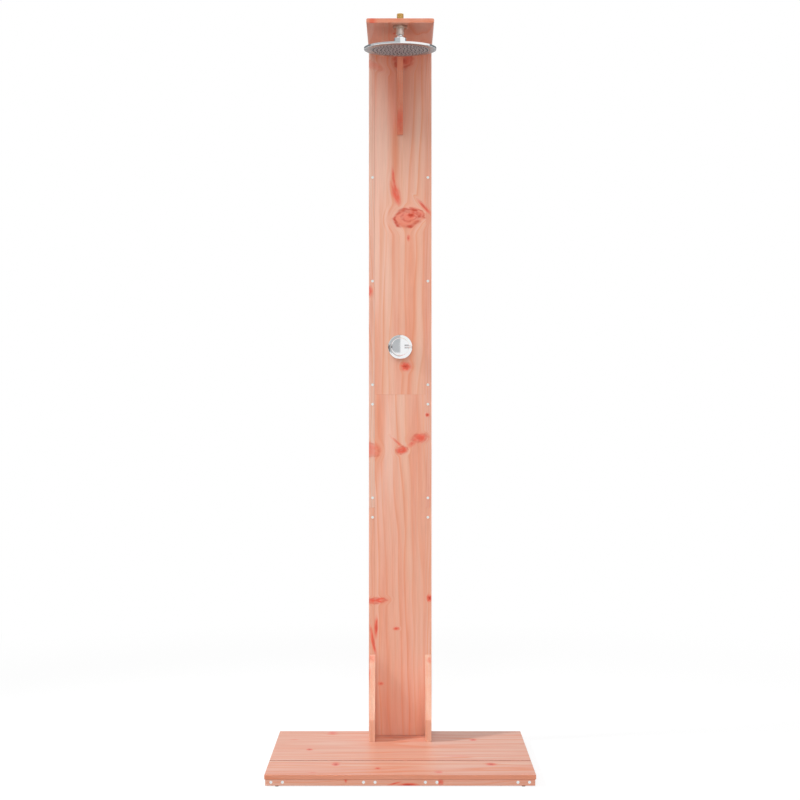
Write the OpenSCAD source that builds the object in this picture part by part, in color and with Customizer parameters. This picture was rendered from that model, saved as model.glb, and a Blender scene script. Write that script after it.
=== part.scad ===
// Free-standing outdoor shower of oiled softwood boards. A low deck carries a hollow column with a panelled
// front. A shelf on top holds a rain head on a ball joint, and a quarter turn valve sits in the panel.
// Millimetres, +Z up. The origin is on the ground under the middle of the deck, and the front faces -Y.

/* [Deck] */
// Width of the deck
deck_w = 800; // [640:10:1000]
// Depth of the deck, front to back
deck_d = 600; // [520:10:800]
// Thickness of the deck, panel, strip and shelf boards
board_t = 13.5; // [12:0.5:18]
// Depth of the front deck board
front_board_d = 178; // [150:1:190]
// Gap between the two deck boards
board_gap = 5.5; // [1:0.5:8]
// How far the boards stand out past the frame under them, on the deck and on the column
overhang = 2.5; // [0:0.5:5]
// Size of the eased edge of every board
arris = 0.8; // [0.3:0.1:1.5]
// Height of the rails and joists under the deck
frame_h = 19; // [16:1:40]
// Thickness of the front and rear rail
rail_t = 19; // [16:1:28]
// Width of each joist, which lies flat
joist_w = 68; // [58:1:90]
// Distance between the two screws in the end of a joist
rail_screw_pitch = 34; // [24:1:42]
// Height of the rail screws above the underside of the frame
rail_screw_h = 10.5; // [7:0.5:12]
// Distance of the deck screws from a deck board's front and rear edge
deck_screw_edge = 50; // [40:1:60]

/* [Feet] */
// Height of a foot pad
foot_h = 3; // [2:0.5:8]
// Radius of a foot pad
foot_r = 6; // [4:0.5:8]
// Radius of the nail moulded into a foot pad
foot_nail_r = 1.2; // [0.8:0.1:2]
// Length of the nail in the rail
foot_nail_l = 11; // [6:1:14]

/* [Column] */
// Width of the column's front
column_w = 206; // [190:2:240]
// Depth of the column, front to back
column_d = 61; // [58:1:80]
// Height of the column above the deck
column_h = 2246; // [2000:10:2400]
// Part of the column's height below the joint of the two front panels
joint_share = 0.499; // [0.49:0.001:0.51]
// Thickness of the side boards, gussets, splices and cleats
side_t = 19; // [17:0.5:20]
// Width of the strips that run down both edges of the front
strip_w = 19; // [17:0.5:24]
// Gap between the front panels and the strips beside them
seam_gap = 0.2; // [0.2:0.1:1.5]
// Size of the eased upright edges of the front panels and the strips
seam_cut = 0.3; // [0.2:0.1:1]
// Part of the column's height that the lower strips cover
strip_share = 0.3333; // [0.28:0.01:0.38]
// Width of the cleats behind the front panels
cleat_w = 40; // [36:1:60]
// Width of the cleat behind the joint of the two panels
joint_cleat_w = 80; // [70:1:90]
// Length of the splices that join the side boards
splice_l = 300; // [260:10:400]

/* [Shelf and gussets] */
// How far the shelf stands out in front of the column
shelf_reach = 400; // [340:5:440]
// Height of a base gusset
gusset_h = 265; // [240:5:320]
// How far the gussets stand out at their foot
gusset_foot = 101; // [90:1:130]
// Height of a base gusset's upright front edge
gusset_nose = 71; // [50:1:80]
// Length of the gusset under the shelf
top_gusset_h = 272; // [250:2:320]
// Height of the upright front edge of the gusset under the shelf
top_gusset_nose = 80; // [60:1:90]
// Size of the cut along the side edges of the shelf
shelf_cut = 3.5; // [1:0.1:4.5]
// Thickness left at the tip of every gusset
gusset_tip = 8; // [4:1:16]

/* [Screws] */
// Radius of a wood screw's shank
screw_r = 2.25; // [1.75:0.25:2.5]
// Radius of a wood screw's head
screw_head_r = 4.5; // [3.5:0.1:4.5]
// Height of the countersunk part of the head
screw_head_h = 2.6; // [2:0.1:3.2]
// Height of the rounded top of the head
screw_rise = 0.6; // [0.3:0.1:1]
// Width of the arms of the cross in the head
cross_w = 1.2; // [0.8:0.1:1.4]
// Length of the screws that hold the strips
strip_screw_l = 35; // [25:1:45]
// Length of the screws through the rails
rail_screw_l = 45; // [35:1:60]
// Length of the screws between a joist or a cleat and a board on it, past the joist or cleat
board_bite = 9; // [6:0.5:10]
// Length of the screws that rise through the deck into the column
column_screw_l = 80; // [65:1:85]
// Length of the screws between side boards, cleats and splices
frame_screw_l = 32; // [28:1:36]
// Length of the screws that hold the gussets from behind
gusset_screw_l = 50; // [44:1:52]
// Length of the screws through the shelf
shelf_screw_l = 58; // [45:1:62]
// Distance of the strip screws from a joint
strip_screw_edge = 32; // [28:1:40]
// Distance between the strip screws of the upper strips
strip_screw_pitch = 341; // [290:1:400]
// Distance of the panel screws from the middle of the column
panel_screw_x = 40; // [30:1:60]
// Distance of a gusset's upright screws from its front and its back
gusset_screw_inset = 27; // [20:1:30]

/* [Valve] */
// Height of the valve above the joint of the two panels
valve_rise = 156; // [135:1:240]
// Radius of the cover plate
cover_r = 40; // [36:0.5:60]
// Depth of the dished cover plate
cover_h = 8; // [7.5:0.5:12]
// Wall of the cover plate
cover_wall = 1.5; // [1:0.25:2]
// Thickness of the foam gasket behind the cover plate
gasket_t = 1.5; // [1:0.25:2.5]
// Radius of the threaded boss that passes through the panel
boss_r = 17; // [16:0.5:18]
// Radius of the flange behind the panel
valve_flange_r = 26; // [24:0.5:32]
// Thickness of the flange behind the panel
valve_flange_t = 4; // [3:0.5:6]
// Radius of the valve body's upright barrel
barrel_r = 13.5; // [13:0.25:15]
// Half the length of the barrel between its threaded ends
barrel_half = 30; // [28:1:36]
// Length of each threaded end
thread_l = 14; // [10:1:18]
// Outside radius of the pipe threads
thread_r = 10.48; // [9:0.01:11]
// Radius of the waterway
waterway_r = 7; // [5:0.25:7.5]
// Outside radius of the valve sleeve
sleeve_r = 11; // [10.5:0.25:12]
// Radius of the turning plug in the sleeve
plug_r = 8.93; // [8.5:0.01:9.2]
// Radius of the port through the plug
port_r = 5; // [3:0.25:5.5]
// Radius of the spindle's stem
stem_r = 4; // [3.5:0.25:4.5]
// Thickness of the back nut's ring in front of the panel
back_nut_t = 4.5; // [3:0.5:5.5]

/* [Lever] */
// Radius of the lever hub
hub_r = 29.5; // [25:0.5:32]
// Height of the lever hub
hub_h = 27.5; // [26:0.5:40]
// Rounding of the hub's front edge
hub_round = 3.5; // [1:0.5:3.5]
// Radius of the lever pin
lever_r = 3.75; // [3:0.25:4.5]
// How far the lever pin reaches from the centre of the hub
lever_reach = 37; // [34:0.5:70]
// Width of the notch that the lever pin lies in
notch_w = 13; // [11:0.5:16]
// Where the notch starts, from the centre of the hub
notch_start = 14; // [12:0.5:17]
// Radius of the set screw
set_screw_r = 2; // [1.5:0.25:2.5]
// Length of the set screw
set_screw_l = 8; // [6:0.5:14]
// Turn of the set screw round the hub, from straight down towards the left
set_screw_turn = 35; // [0:5:60]

/* [Shower arm] */
// Distance of the arm from the front edge of the shelf
arm_inset = 40; // [36:1:120]
// Height of the brass nipple above the shelf
nipple_rise = 23; // [22:0.2:40]
// Wall of the brass nipple
nipple_wall = 3; // [2:0.25:3.5]
// Thickness of the lock nut
lock_nut_t = 6; // [5:0.5:8]
// Width of the lock nut across its flats
lock_nut_af = 27; // [25:0.5:30]
// Thickness of the washer under the lock nut
washer_t = 1.5; // [1:0.25:2.5]
// Radius of the washer under the lock nut
washer_r = 17; // [15:0.5:20]
// Outside radius of the arm tube
tube_r = 12.2; // [12:0.1:14]
// Length of the arm tube under the shelf
tube_l = 28; // [26:0.5:45]
// Length of the nipple in the arm tube
nipple_bite = 12.6; // [8:0.2:13]
// Length of the ball's stem in the arm tube
stem_bite = 11.2; // [8:0.2:12]
// Radius of the arm's flange against the shelf
flange_r = 22; // [18:0.5:30]
// Height of the arm's flange
flange_h = 8.5; // [6:0.5:12]

/* [Shower head] */
// Tilt of the head in the modelled position, its front edge down
head_tilt = 2.4; // [0:0.1:6]
// Radius of the head
head_r = 110.6; // [90:0.2:140]
// Width of the nearly flat ring between the rim's side and the face
rim_w = 17.6; // [9:0.1:20]
// Height of the rim, from the dome's edge down to the face
rim_h = 6.6; // [6.6:0.1:10]
// Height of the rim's upright side
rim_side_h = 6.2; // [4:0.1:6.4]
// Height of the shallow dome on the head's back
dome_h = 9.4; // [8:0.1:20]
// Wall of the head's shell
shell_wall = 2; // [1.5:0.1:2.5]
// Thickness of the face plate
face_t = 2.4; // [2:0.1:2.8]
// Radius of the ball
ball_r = 12; // [11.5:0.1:12.5]
// Radius of the stem above the ball
ball_neck_r = 6.5; // [5.5:0.1:6.8]
// Distance of the ball's centre below the arm tube
ball_drop = 16; // [15.5:0.1:20]
// Outside radius of the collar nut
collar_r = 18.7; // [18.4:0.1:21]
// Height of the collar nut above the ball's centre
collar_rise = 10.5; // [9.5:0.1:11]
// Depth of the neck's foot below the ball's centre
neck_drop = 14; // [13.5:0.1:20]
// Distance between nozzle rings
nozzle_pitch = 11.9; // [11.5:0.1:18]
// Radius of a nozzle where it leaves the face plate
nozzle_r = 1.8; // [1.5:0.1:2.6]
// How far a nozzle stands out of the face plate
nozzle_out = 1.2; // [1:0.1:3]

/* [Fits] */
// Play of a screw or nail in its hole
hole_play = 0.12; // [0.08:0.01:0.2]
// Play between a turning part and its bore
turn_play = 0.07; // [0.04:0.01:0.09]
// Play between threaded or pushed together parts that don't turn
thread_play = 0.1; // [0.05:0.01:0.2]
// Play round the ball
ball_play = 0.3; // [0.2:0.05:0.4]
// Play of a pipe or boss in a board's hole
board_play = 1; // [0.5:0.25:2]
// Play between the turning hub and the cover plate
hub_play = 1; // [0.5:0.25:2]

/* [Hidden] */
$fn = 64;

// Colours of the finishes
timber = "#E5AA91";
steel = "#C9CBCD";
chrome = "#DDE0E3";
brass = "#C8A564";
rubber = "#2E2E30";
grey_plastic = "#786E6A";
black_plastic = "#3A3A3A";

// A little more than nothing, so that a cut runs clear of the face it opens
past = 1;

// Frame and deck
frame_w = deck_w - 2 * overhang;
frame_d = deck_d - 2 * overhang;
deck_z = foot_h + frame_h;
deck_top = deck_z + board_t;
front_y = -deck_d / 2;
back_y = deck_d / 2;
seam_y = front_y + front_board_d;
joist_l = frame_d - 2 * rail_t;

// Column
column_front = back_y - column_d;
panel_back = column_front + board_t;
column_top = deck_top + column_h;
joint_z = deck_top + column_h * joint_share;
split_z = deck_top + column_h * strip_share;
side_x = column_w / 2 - overhang - side_t / 2;
side_inner = side_x - side_t / 2;
side_outer = side_x + side_t / 2;
strip_inner = column_w / 2 - strip_w;
cleat_back = panel_back + side_t;
cleat_screw_y = panel_back + 1.5 * screw_head_r;
splice_front = cleat_back + thread_play;
splice_mid_y = (splice_front + back_y) / 2;
outer_joist_x = frame_w / 2 - joist_w / 2;
joist_xs = [-outer_joist_x, -side_x, side_x, outer_joist_x];

// Cleats: the middle height and the width of each
cleats = [
    [deck_top + cleat_w / 2, cleat_w],
    [(deck_top + joint_z) / 2, cleat_w],
    [joint_z, joint_cleat_w],
    [(joint_z + column_top) / 2, cleat_w],
    [column_top - cleat_w / 2, cleat_w]
];

// Shelf and shower arm
shelf_top = column_top + board_t;
shelf_front = column_front - shelf_reach;
arm_y = shelf_front + arm_inset;
nipple_top = shelf_top + nipple_rise;
nipple_bore_r = thread_r - nipple_wall;
thread_foot = shelf_top + washer_t + lock_nut_t + past;
relief_h = 1;
relief_r = thread_r - 1;
tube_bottom = column_top - tube_l;
tube_bore_r = thread_r + turn_play;
nipple_bottom = column_top - nipple_bite;
stem_top = tube_bottom + stem_bite;
filter_t = 1.5;
ball_z = tube_bottom - ball_drop;
ball_bore_r = ball_neck_r - 2;

// Shower head, with heights measured from the centre of the ball
rim_round = 1.2;
rim_foot_r = head_r - rim_round;
face_r = rim_foot_r - rim_w;
face_low = -(neck_drop + dome_h + rim_h);
rim_top = face_low + rim_h;
collar_lip_h = 7;
lip_r = sqrt(ball_r * ball_r - collar_lip_h * collar_lip_h) + ball_play;
neck_wall = 2.7;
neck_r = ball_r + ball_play + neck_wall;
neck_top = -2.5;
seal_top = -6.5;
seal_low = 0.5 - ball_r;
seal_r = ball_r + ball_play - thread_play;
chamber_neck_r = 6;
mat_t = 1.2;
face_fit_r = face_r - shell_wall;
mat_r = face_fit_r - 2;
nozzle_rings = floor((mat_r - 2 * nozzle_r) / nozzle_pitch);
nozzle_h = nozzle_out + face_t + mat_t / 2;
ring_turn = 137.5;

// Valve, with heights measured from the panel's front, out of the column
valve_z = joint_z + valve_rise;
barrel_sink = 0.5;
body_floor_t = 2.5;
gland_bite = 6;
plug_gap = 0.3;
barrel_c = board_t + valve_flange_t + barrel_r - barrel_sink;
sleeve_floor = -barrel_c - barrel_r + body_floor_t;
cover_low = gasket_t;
cover_top = gasket_t + cover_h;
boss_out = cover_top - 0.5;
sleeve_bore_r = plug_r + turn_play;
sleeve_top = boss_out - gland_bite;
plug_low = sleeve_floor + plug_gap;
plug_top = sleeve_top - plug_gap;
seal_depth = 1.4;
seal_h = 2;
seal_lows = [plug_top - 12, plug_top - 6];
gland_head_t = 5;
gland_af = 28;
ring_low = back_nut_t + 1;
ring_r = boss_r + 2.3;
back_nut_r = boss_r + 7;
hub_low = cover_top + hub_play;
hub_top = hub_low + hub_h;
hub_wall = 6.5;
hub_recess_r = hub_r - hub_wall;
hub_recess_h = boss_out + gland_head_t + 2 - hub_low;
lever_h = hub_top - lever_r - 4.25;
lever_root = stem_r + 3;
hub_dome_h = 1;
hub_face_r = hub_r - hub_round;
stem_out = hub_top - 9;
set_screw_h = hub_low + hub_recess_h + set_screw_r + 1.5;

// Directions of a screw's head, as rotations
to_front = [90, 0, 0];
to_back = [-90, 0, 0];
to_top = [0, 0, 0];
to_ground = [180, 0, 0];
to_right = [0, 90, 0];
to_left = [0, -90, 0];

// Heights of the screws behind the gussets, and where the splice screws lie along a splice
base_screw_heights = [60, 140];
top_screw_drops = [75, 165];
splice_screw_shares = [-0.4, -0.15, 0.15, 0.4];

// Wood left in front of the counterbore of a screw behind a base gusset
gusset_bore_wood = 12;

// Places of the screws: the point under the middle of the head, and its direction
rail_spots = [
    for (x = joist_xs, i = [-1, 1], f = [-1, 1])
        [
            [x + i * rail_screw_pitch / 2, f * frame_d / 2, foot_h + rail_screw_h],
            f < 0 ? to_front : to_back
        ]
];
deck_screw_ys = [
    front_y + deck_screw_edge,
    seam_y - deck_screw_edge,
    seam_y + board_gap + deck_screw_edge,
    (seam_y + board_gap + back_y) / 2,
    back_y - deck_screw_edge
];
deck_spots = [
    for (x = joist_xs, y = deck_screw_ys)
        [[x, y, foot_h], to_ground]
];
side_screw_ys = [joist_l / 2 - 2 * screw_head_r, frame_d / 2 - rail_t / 2];
gusset_screw_ys = [column_front - gusset_foot + gusset_screw_inset, column_front - gusset_screw_inset];
column_spots = [
    for (x = [-side_x, side_x], y = concat(side_screw_ys, gusset_screw_ys))
        [[x, y, foot_h], to_ground]
];
strip_screw_zs = [
    split_z - strip_screw_edge,
    split_z + strip_screw_edge,
    joint_z - strip_screw_edge,
    joint_z + strip_screw_edge,
    joint_z + strip_screw_edge + strip_screw_pitch,
    joint_z + strip_screw_edge + 2 * strip_screw_pitch
];
strip_spots = [
    for (x = [-side_x, side_x], z = strip_screw_zs)
        [[x, column_front, z], to_front]
];
cleat_end_spots = [
    for (c = cleats, i = [-1, 1], s = [-1, 1])
        [[s * side_outer, cleat_screw_y, c[0] + i * c[1] / 4], s > 0 ? to_right : to_left]
];
splice_spots = [
    for (share = splice_screw_shares, s = [-1, 1])
        [
            [s * (side_inner - side_t), splice_mid_y, joint_z + share * splice_l],
            s > 0 ? to_left : to_right
        ]
];
panel_screw_zs = [
    cleats[0][0],
    cleats[1][0],
    cleats[2][0] - cleats[2][1] / 4,
    cleats[2][0] + cleats[2][1] / 4,
    cleats[3][0],
    cleats[4][0]
];
panel_spots = [
    for (x = [-panel_screw_x, panel_screw_x], z = panel_screw_zs)
        [[x, cleat_back, z], to_back]
];
gusset_bore_y = panel_back + gusset_bore_wood;
base_gusset_spots = [
    for (x = [-side_x, side_x], h = base_screw_heights)
        [[x, gusset_bore_y, deck_top + h], to_back]
];
top_gusset_spots = [
    for (h = top_screw_drops)
        [[0, panel_back, column_top - h], to_back]
];
shelf_spots = [
    for (p = [
        [-side_x, side_screw_ys[0]], [-side_x, side_screw_ys[1]],
        [side_x, side_screw_ys[0]], [side_x, side_screw_ys[1]],
        [0, gusset_screw_ys[0]], [0, gusset_screw_ys[1]]
    ])
        [[p[0], p[1], shelf_top], to_top]
];
foot_spots = [
    for (x = [-outer_joist_x, outer_joist_x], f = [-1, 1])
        [x, f * (frame_d / 2 - rail_t / 2), 0]
];

// Shared shapes

// Rectangle with its corners cut at 45 degrees
module eased(a, b, cut = arris) {
    polygon([
        [cut, 0], [a - cut, 0], [a, cut], [a, b - cut],
        [a - cut, b], [cut, b], [0, b - cut], [0, cut]
    ]);
}

// Board with all its edges eased: those along Y by side_cut, and the upright ones by edge_cut
module board(low, size, side_cut = arris, edge_cut = arris) {
    translate(low)
        intersection() {
            linear_extrude(size[2])
                eased(size[0], size[1], edge_cut);
            translate([0, size[1], 0])
                rotate([90, 0, 0])
                    linear_extrude(size[1])
                        eased(size[0], size[2], side_cut);
            rotate([90, 0, 90])
                linear_extrude(size[0])
                    eased(size[1], size[2]);
        }
}

// Puts a shape at each place of a list
module at_each(spots) {
    for (s = spots)
        translate(s[0])
            rotate(s[1])
                children();
}

// Countersunk wood screw with a cross in its head, its head towards +Z
module screw(l) {
    difference() {
        rotate_extrude($fn = 24)
            polygon([
                [0, -l], [0.4, -l], [screw_r, -l + 2 * screw_r], [screw_r, -screw_head_h],
                [screw_head_r, 0], [screw_head_r - 2 * screw_rise, screw_rise], [0, screw_rise]
            ]);
        for (a = [0, 90])
            rotate(a)
                translate([-screw_head_r / 2, -cross_w / 2, screw_rise - 1.5])
                    cube([screw_head_r, cross_w, 1.5 + past]);
    }
}

// Hole that such a screw sits in
module screw_hole(l) {
    rotate_extrude($fn = 24)
        polygon([
            [0, -l - hole_play], [screw_r + hole_play, -l - hole_play],
            [screw_r + hole_play, -screw_head_h - hole_play],
            [screw_head_r + hole_play, 0], [screw_head_r + hole_play, past], [0, past]
        ]);
}

// Side outline of a gusset: foot along X, height along Y
module gusset_outline(h, nose) {
    polygon([
        [arris, 0], [gusset_foot - arris, 0], [gusset_foot, arris], [gusset_foot, nose],
        [gusset_tip, h - arris], [gusset_tip - arris, h], [0, h], [0, 0]
    ]);
}

// Gusset in its place at x, its foot on the plane z, standing up or hanging down
module gusset(x, z, h, nose, hanging) {
    translate([x - side_t / 2, column_front, z])
        hung(hanging)
            rotate([90, 0, -90])
                translate([0, 0, -side_t])
                    linear_extrude(side_t)
                        gusset_outline(h, nose);
}

// Turns a shape upside down if it hangs
module hung(hanging) {
    if (hanging)
        mirror([0, 0, 1])
            children();
    else
        children();
}

// Turns a lathed shape so that its axis points out of the column at the valve
module at_valve() {
    translate([0, column_front, valve_z])
        rotate(to_front)
            children();
}

// Puts a shape on the arm's upright axis at a height
module on_arm(z) {
    translate([0, arm_y, z])
        children();
}

// Puts a shape in the tilted frame of the head, with its origin at the ball's centre
module in_head() {
    translate([0, arm_y, ball_z])
        rotate([head_tilt, 0, 0])
            children();
}

// Ring with a square section
module ring(r_in, r_out, low, high) {
    rotate_extrude()
        polygon([[r_in, low], [r_out, low], [r_out, high], [r_in, high]]);
}

// Hexagon bar, measured across its flats
module hexagon(af, h) {
    cylinder(h = h, r = af / sqrt(3), $fn = 6);
}

// Deck

module deck_board_front() {
    color(timber)
        difference() {
            board([-deck_w / 2, front_y, deck_z], [deck_w, front_board_d, board_t]);
            at_each(deck_spots)
                screw_hole(frame_h + board_bite);
        }
}

module deck_board_rear() {
    color(timber)
        difference() {
            board(
                [-deck_w / 2, seam_y + board_gap, deck_z],
                [deck_w, deck_d - front_board_d - board_gap, board_t]
            );
            at_each(deck_spots)
                screw_hole(frame_h + board_bite);
            at_each(column_spots)
                screw_hole(column_screw_l);
        }
}

// Rail under the front edge, f = -1, or the rear edge, f = 1
module rail(f) {
    color(timber)
        difference() {
            board(
                [-frame_w / 2, f < 0 ? -frame_d / 2 : frame_d / 2 - rail_t, foot_h],
                [frame_w, rail_t, frame_h]
            );
            at_each(rail_spots)
                screw_hole(rail_screw_l);
            at_each(column_spots)
                screw_hole(column_screw_l);
            for (p = foot_spots)
                translate([p[0], p[1], foot_h - past])
                    cylinder(h = foot_nail_l + past + hole_play, r = foot_nail_r + hole_play, $fn = 24);
        }
}

module joist(x) {
    color(timber)
        difference() {
            board([x - joist_w / 2, -joist_l / 2, foot_h], [joist_w, joist_l, frame_h]);
            at_each(rail_spots)
                screw_hole(rail_screw_l);
            at_each(deck_spots)
                screw_hole(frame_h + board_bite);
            at_each(column_spots)
                screw_hole(column_screw_l);
        }
}

module foot_pads() {
    color(black_plastic)
        for (p = foot_spots)
            translate(p)
                rotate_extrude($fn = 32)
                    polygon([
                        [0, 0], [foot_r - 0.6, 0], [foot_r, 0.6], [foot_r, foot_h],
                        [foot_nail_r, foot_h], [foot_nail_r, foot_h + foot_nail_l], [0, foot_h + foot_nail_l]
                    ]);
}

module deck_screws() {
    color(steel)
        at_each(deck_spots)
            screw(frame_h + board_bite);
}

module rail_screws() {
    color(steel)
        at_each(rail_spots)
            screw(rail_screw_l);
}

module column_screws() {
    color(steel)
        at_each(column_spots)
            screw(column_screw_l);
}

// Column

module front_panel(low, high) {
    color(timber)
        difference() {
            board(
                [-strip_inner + seam_gap, column_front, low],
                [2 * (strip_inner - seam_gap), board_t, high - low],
                edge_cut = seam_cut
            );
            at_each(panel_spots)
                screw_hole(side_t + board_bite);
            at_each(top_gusset_spots)
                screw_hole(gusset_screw_l);
            at_valve()
                translate([0, 0, -board_t - past])
                    cylinder(h = board_t + 2 * past, r = boss_r + board_play);
        }
}

module side_board(side, low, high) {
    color(timber)
        difference() {
            board(
                [side * side_x - side_t / 2, panel_back, low],
                [side_t, column_d - board_t, high - low]
            );
            at_each(column_spots)
                screw_hole(column_screw_l);
            at_each(strip_spots)
                screw_hole(strip_screw_l);
            at_each(cleat_end_spots)
                screw_hole(side_t + frame_screw_l / 2);
            at_each(splice_spots)
                screw_hole(frame_screw_l);
            at_each(shelf_spots)
                screw_hole(shelf_screw_l);
            at_each(base_gusset_spots) {
                screw_hole(gusset_screw_l);
                cylinder(h = column_d, r = screw_head_r + board_play, $fn = 32);
            }
        }
}

module edge_strip(side, low, high) {
    color(timber)
        difference() {
            board(
                [side > 0 ? strip_inner : -column_w / 2, column_front, low],
                [strip_w, board_t, high - low],
                edge_cut = seam_cut
            );
            at_each(strip_spots)
                screw_hole(strip_screw_l);
            at_each(base_gusset_spots)
                screw_hole(gusset_screw_l);
        }
}

module strip_screws() {
    color(steel)
        at_each(strip_spots)
            screw(strip_screw_l);
}

module splice(side) {
    color(timber)
        difference() {
            board(
                [side > 0 ? side_inner - side_t : -side_inner, splice_front, joint_z - splice_l / 2],
                [side_t, back_y - splice_front, splice_l]
            );
            at_each(splice_spots)
                screw_hole(frame_screw_l);
        }
}

module panel_cleats() {
    color(timber)
        difference() {
            for (c = cleats)
                board([-side_inner, panel_back, c[0] - c[1] / 2], [2 * side_inner, side_t, c[1]]);
            at_each(cleat_end_spots)
                screw_hole(side_t + frame_screw_l / 2);
            at_each(panel_spots)
                screw_hole(side_t + board_bite);
        }
}

module frame_screws() {
    color(steel) {
        at_each(cleat_end_spots)
            screw(side_t + frame_screw_l / 2);
        at_each(splice_spots)
            screw(frame_screw_l);
    }
}

module panel_screws() {
    color(steel)
        at_each(panel_spots)
            screw(side_t + board_bite);
}

module base_gusset(side) {
    color(timber)
        difference() {
            gusset(side * side_x, deck_top, gusset_h, gusset_nose, false);
            at_each(column_spots)
                screw_hole(column_screw_l);
            at_each(base_gusset_spots)
                screw_hole(gusset_screw_l);
        }
}

module top_gusset() {
    color(timber)
        difference() {
            gusset(0, column_top, top_gusset_h, top_gusset_nose, true);
            at_each(top_gusset_spots)
                screw_hole(gusset_screw_l);
            at_each(shelf_spots)
                screw_hole(shelf_screw_l);
        }
}

module gusset_screws() {
    color(steel)
        at_each(concat(base_gusset_spots, top_gusset_spots))
            screw(gusset_screw_l);
}

module shelf_board() {
    color(timber)
        difference() {
            board(
                [-column_w / 2, shelf_front, column_top],
                [column_w, shelf_reach + column_d, board_t],
                shelf_cut
            );
            at_each(shelf_spots)
                screw_hole(shelf_screw_l);
            on_arm(column_top - past)
                cylinder(h = board_t + 2 * past, r = thread_r + board_play);
        }
}

module shelf_screws() {
    color(steel)
        at_each(shelf_spots)
            screw(shelf_screw_l);
}

// Valve

module valve_body() {
    color(brass)
        at_valve()
            difference() {
                union() {
                    rotate_extrude()
                        polygon([
                            [0, -barrel_c - barrel_r], [barrel_r - 3, -barrel_c - barrel_r],
                            [boss_r, -barrel_c], [boss_r, -board_t - valve_flange_t],
                            [valve_flange_r, -board_t - valve_flange_t], [valve_flange_r, -board_t],
                            [boss_r, -board_t], [boss_r, boss_out], [0, boss_out]
                        ]);
                    translate([0, barrel_half, -barrel_c])
                        rotate(to_front)
                            cylinder(h = 2 * barrel_half, r = barrel_r);
                    translate([0, barrel_half + thread_l, -barrel_c])
                        rotate(to_front)
                            cylinder(h = 2 * (barrel_half + thread_l), r = thread_r);
                }
                translate([0, barrel_half + thread_l + past, -barrel_c])
                    rotate(to_front)
                        cylinder(h = 2 * (barrel_half + thread_l + past), r = waterway_r);
                translate([0, 0, sleeve_floor])
                    cylinder(h = boss_out - sleeve_floor + past, r = sleeve_r + thread_play);
            }
}

module valve_sleeve() {
    color(chrome)
        at_valve()
            difference() {
                ring(sleeve_bore_r, sleeve_r, sleeve_floor, sleeve_top);
                translate([0, sleeve_r + past, -barrel_c])
                    rotate(to_front)
                        cylinder(h = 2 * (sleeve_r + past), r = port_r);
            }
}

module valve_spindle() {
    color(brass)
        at_valve()
            difference() {
                rotate_extrude()
                    polygon([
                        [0, plug_low], [plug_r, plug_low], [plug_r, plug_top], [stem_r, plug_top],
                        [stem_r, stem_out - 1], [stem_r - 1, stem_out], [0, stem_out]
                    ]);
                for (low = seal_lows)
                    ring(plug_r - seal_depth, plug_r + past, low, low + seal_h);
                translate([-plug_r - past, 0, -barrel_c])
                    rotate(to_right)
                        cylinder(h = 2 * (plug_r + past), r = port_r);
            }
}

module spindle_seals() {
    color(rubber)
        at_valve()
            for (low = seal_lows)
                ring(plug_r - seal_depth + hole_play, plug_r, low + hole_play, low + seal_h - hole_play);
}

module gland_nut() {
    color(brass)
        at_valve()
            difference() {
                union() {
                    translate([0, 0, sleeve_top])
                        cylinder(h = boss_out - sleeve_top, r = sleeve_r);
                    translate([0, 0, boss_out])
                        hexagon(gland_af, gland_head_t);
                }
                translate([0, 0, sleeve_top - past])
                    cylinder(h = boss_out - sleeve_top + gland_head_t + 2 * past, r = stem_r + turn_play);
            }
}

module back_nut() {
    color(brass)
        at_valve()
            difference() {
                hexagon(2 * back_nut_r, back_nut_t);
                translate([0, 0, -past])
                    cylinder(h = back_nut_t + 2 * past, r = boss_r + thread_play);
            }
}

module cover_gasket() {
    color(rubber)
        at_valve()
            ring(cover_r - 6, cover_r - 2, 0, gasket_t);
}

module cover_plate() {
    color(chrome)
        at_valve()
            rotate_extrude($fn = 96)
                polygon([
                    [cover_r, cover_low], [cover_r, cover_top - 2.6], [cover_r - 0.5, cover_top - 1.7],
                    [cover_r - 1.5, cover_top - 1], [cover_r - 4, cover_top - 0.6],
                    [cover_r - 8, cover_top - 0.2], [cover_r - 12, cover_top],
                    [ring_r + thread_play, cover_top], [ring_r + thread_play, ring_low],
                    [ring_r + thread_play + cover_wall, ring_low],
                    [ring_r + thread_play + cover_wall, cover_top - cover_wall],
                    [cover_r - 12, cover_top - cover_wall], [cover_r - 8, cover_top - 0.2 - cover_wall],
                    [cover_r - 4.8, cover_top - 1.2 - cover_wall], [cover_r - 3, cover_low + 3],
                    [cover_r - 3, cover_low + 1.5], [cover_r - 7, cover_low + 1.5], [cover_r - 7, cover_low]
                ]);
}

module cover_ring() {
    color(rubber)
        at_valve()
            ring(boss_r + thread_play, ring_r, ring_low + 0.2, boss_out - 0.5);
}

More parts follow.
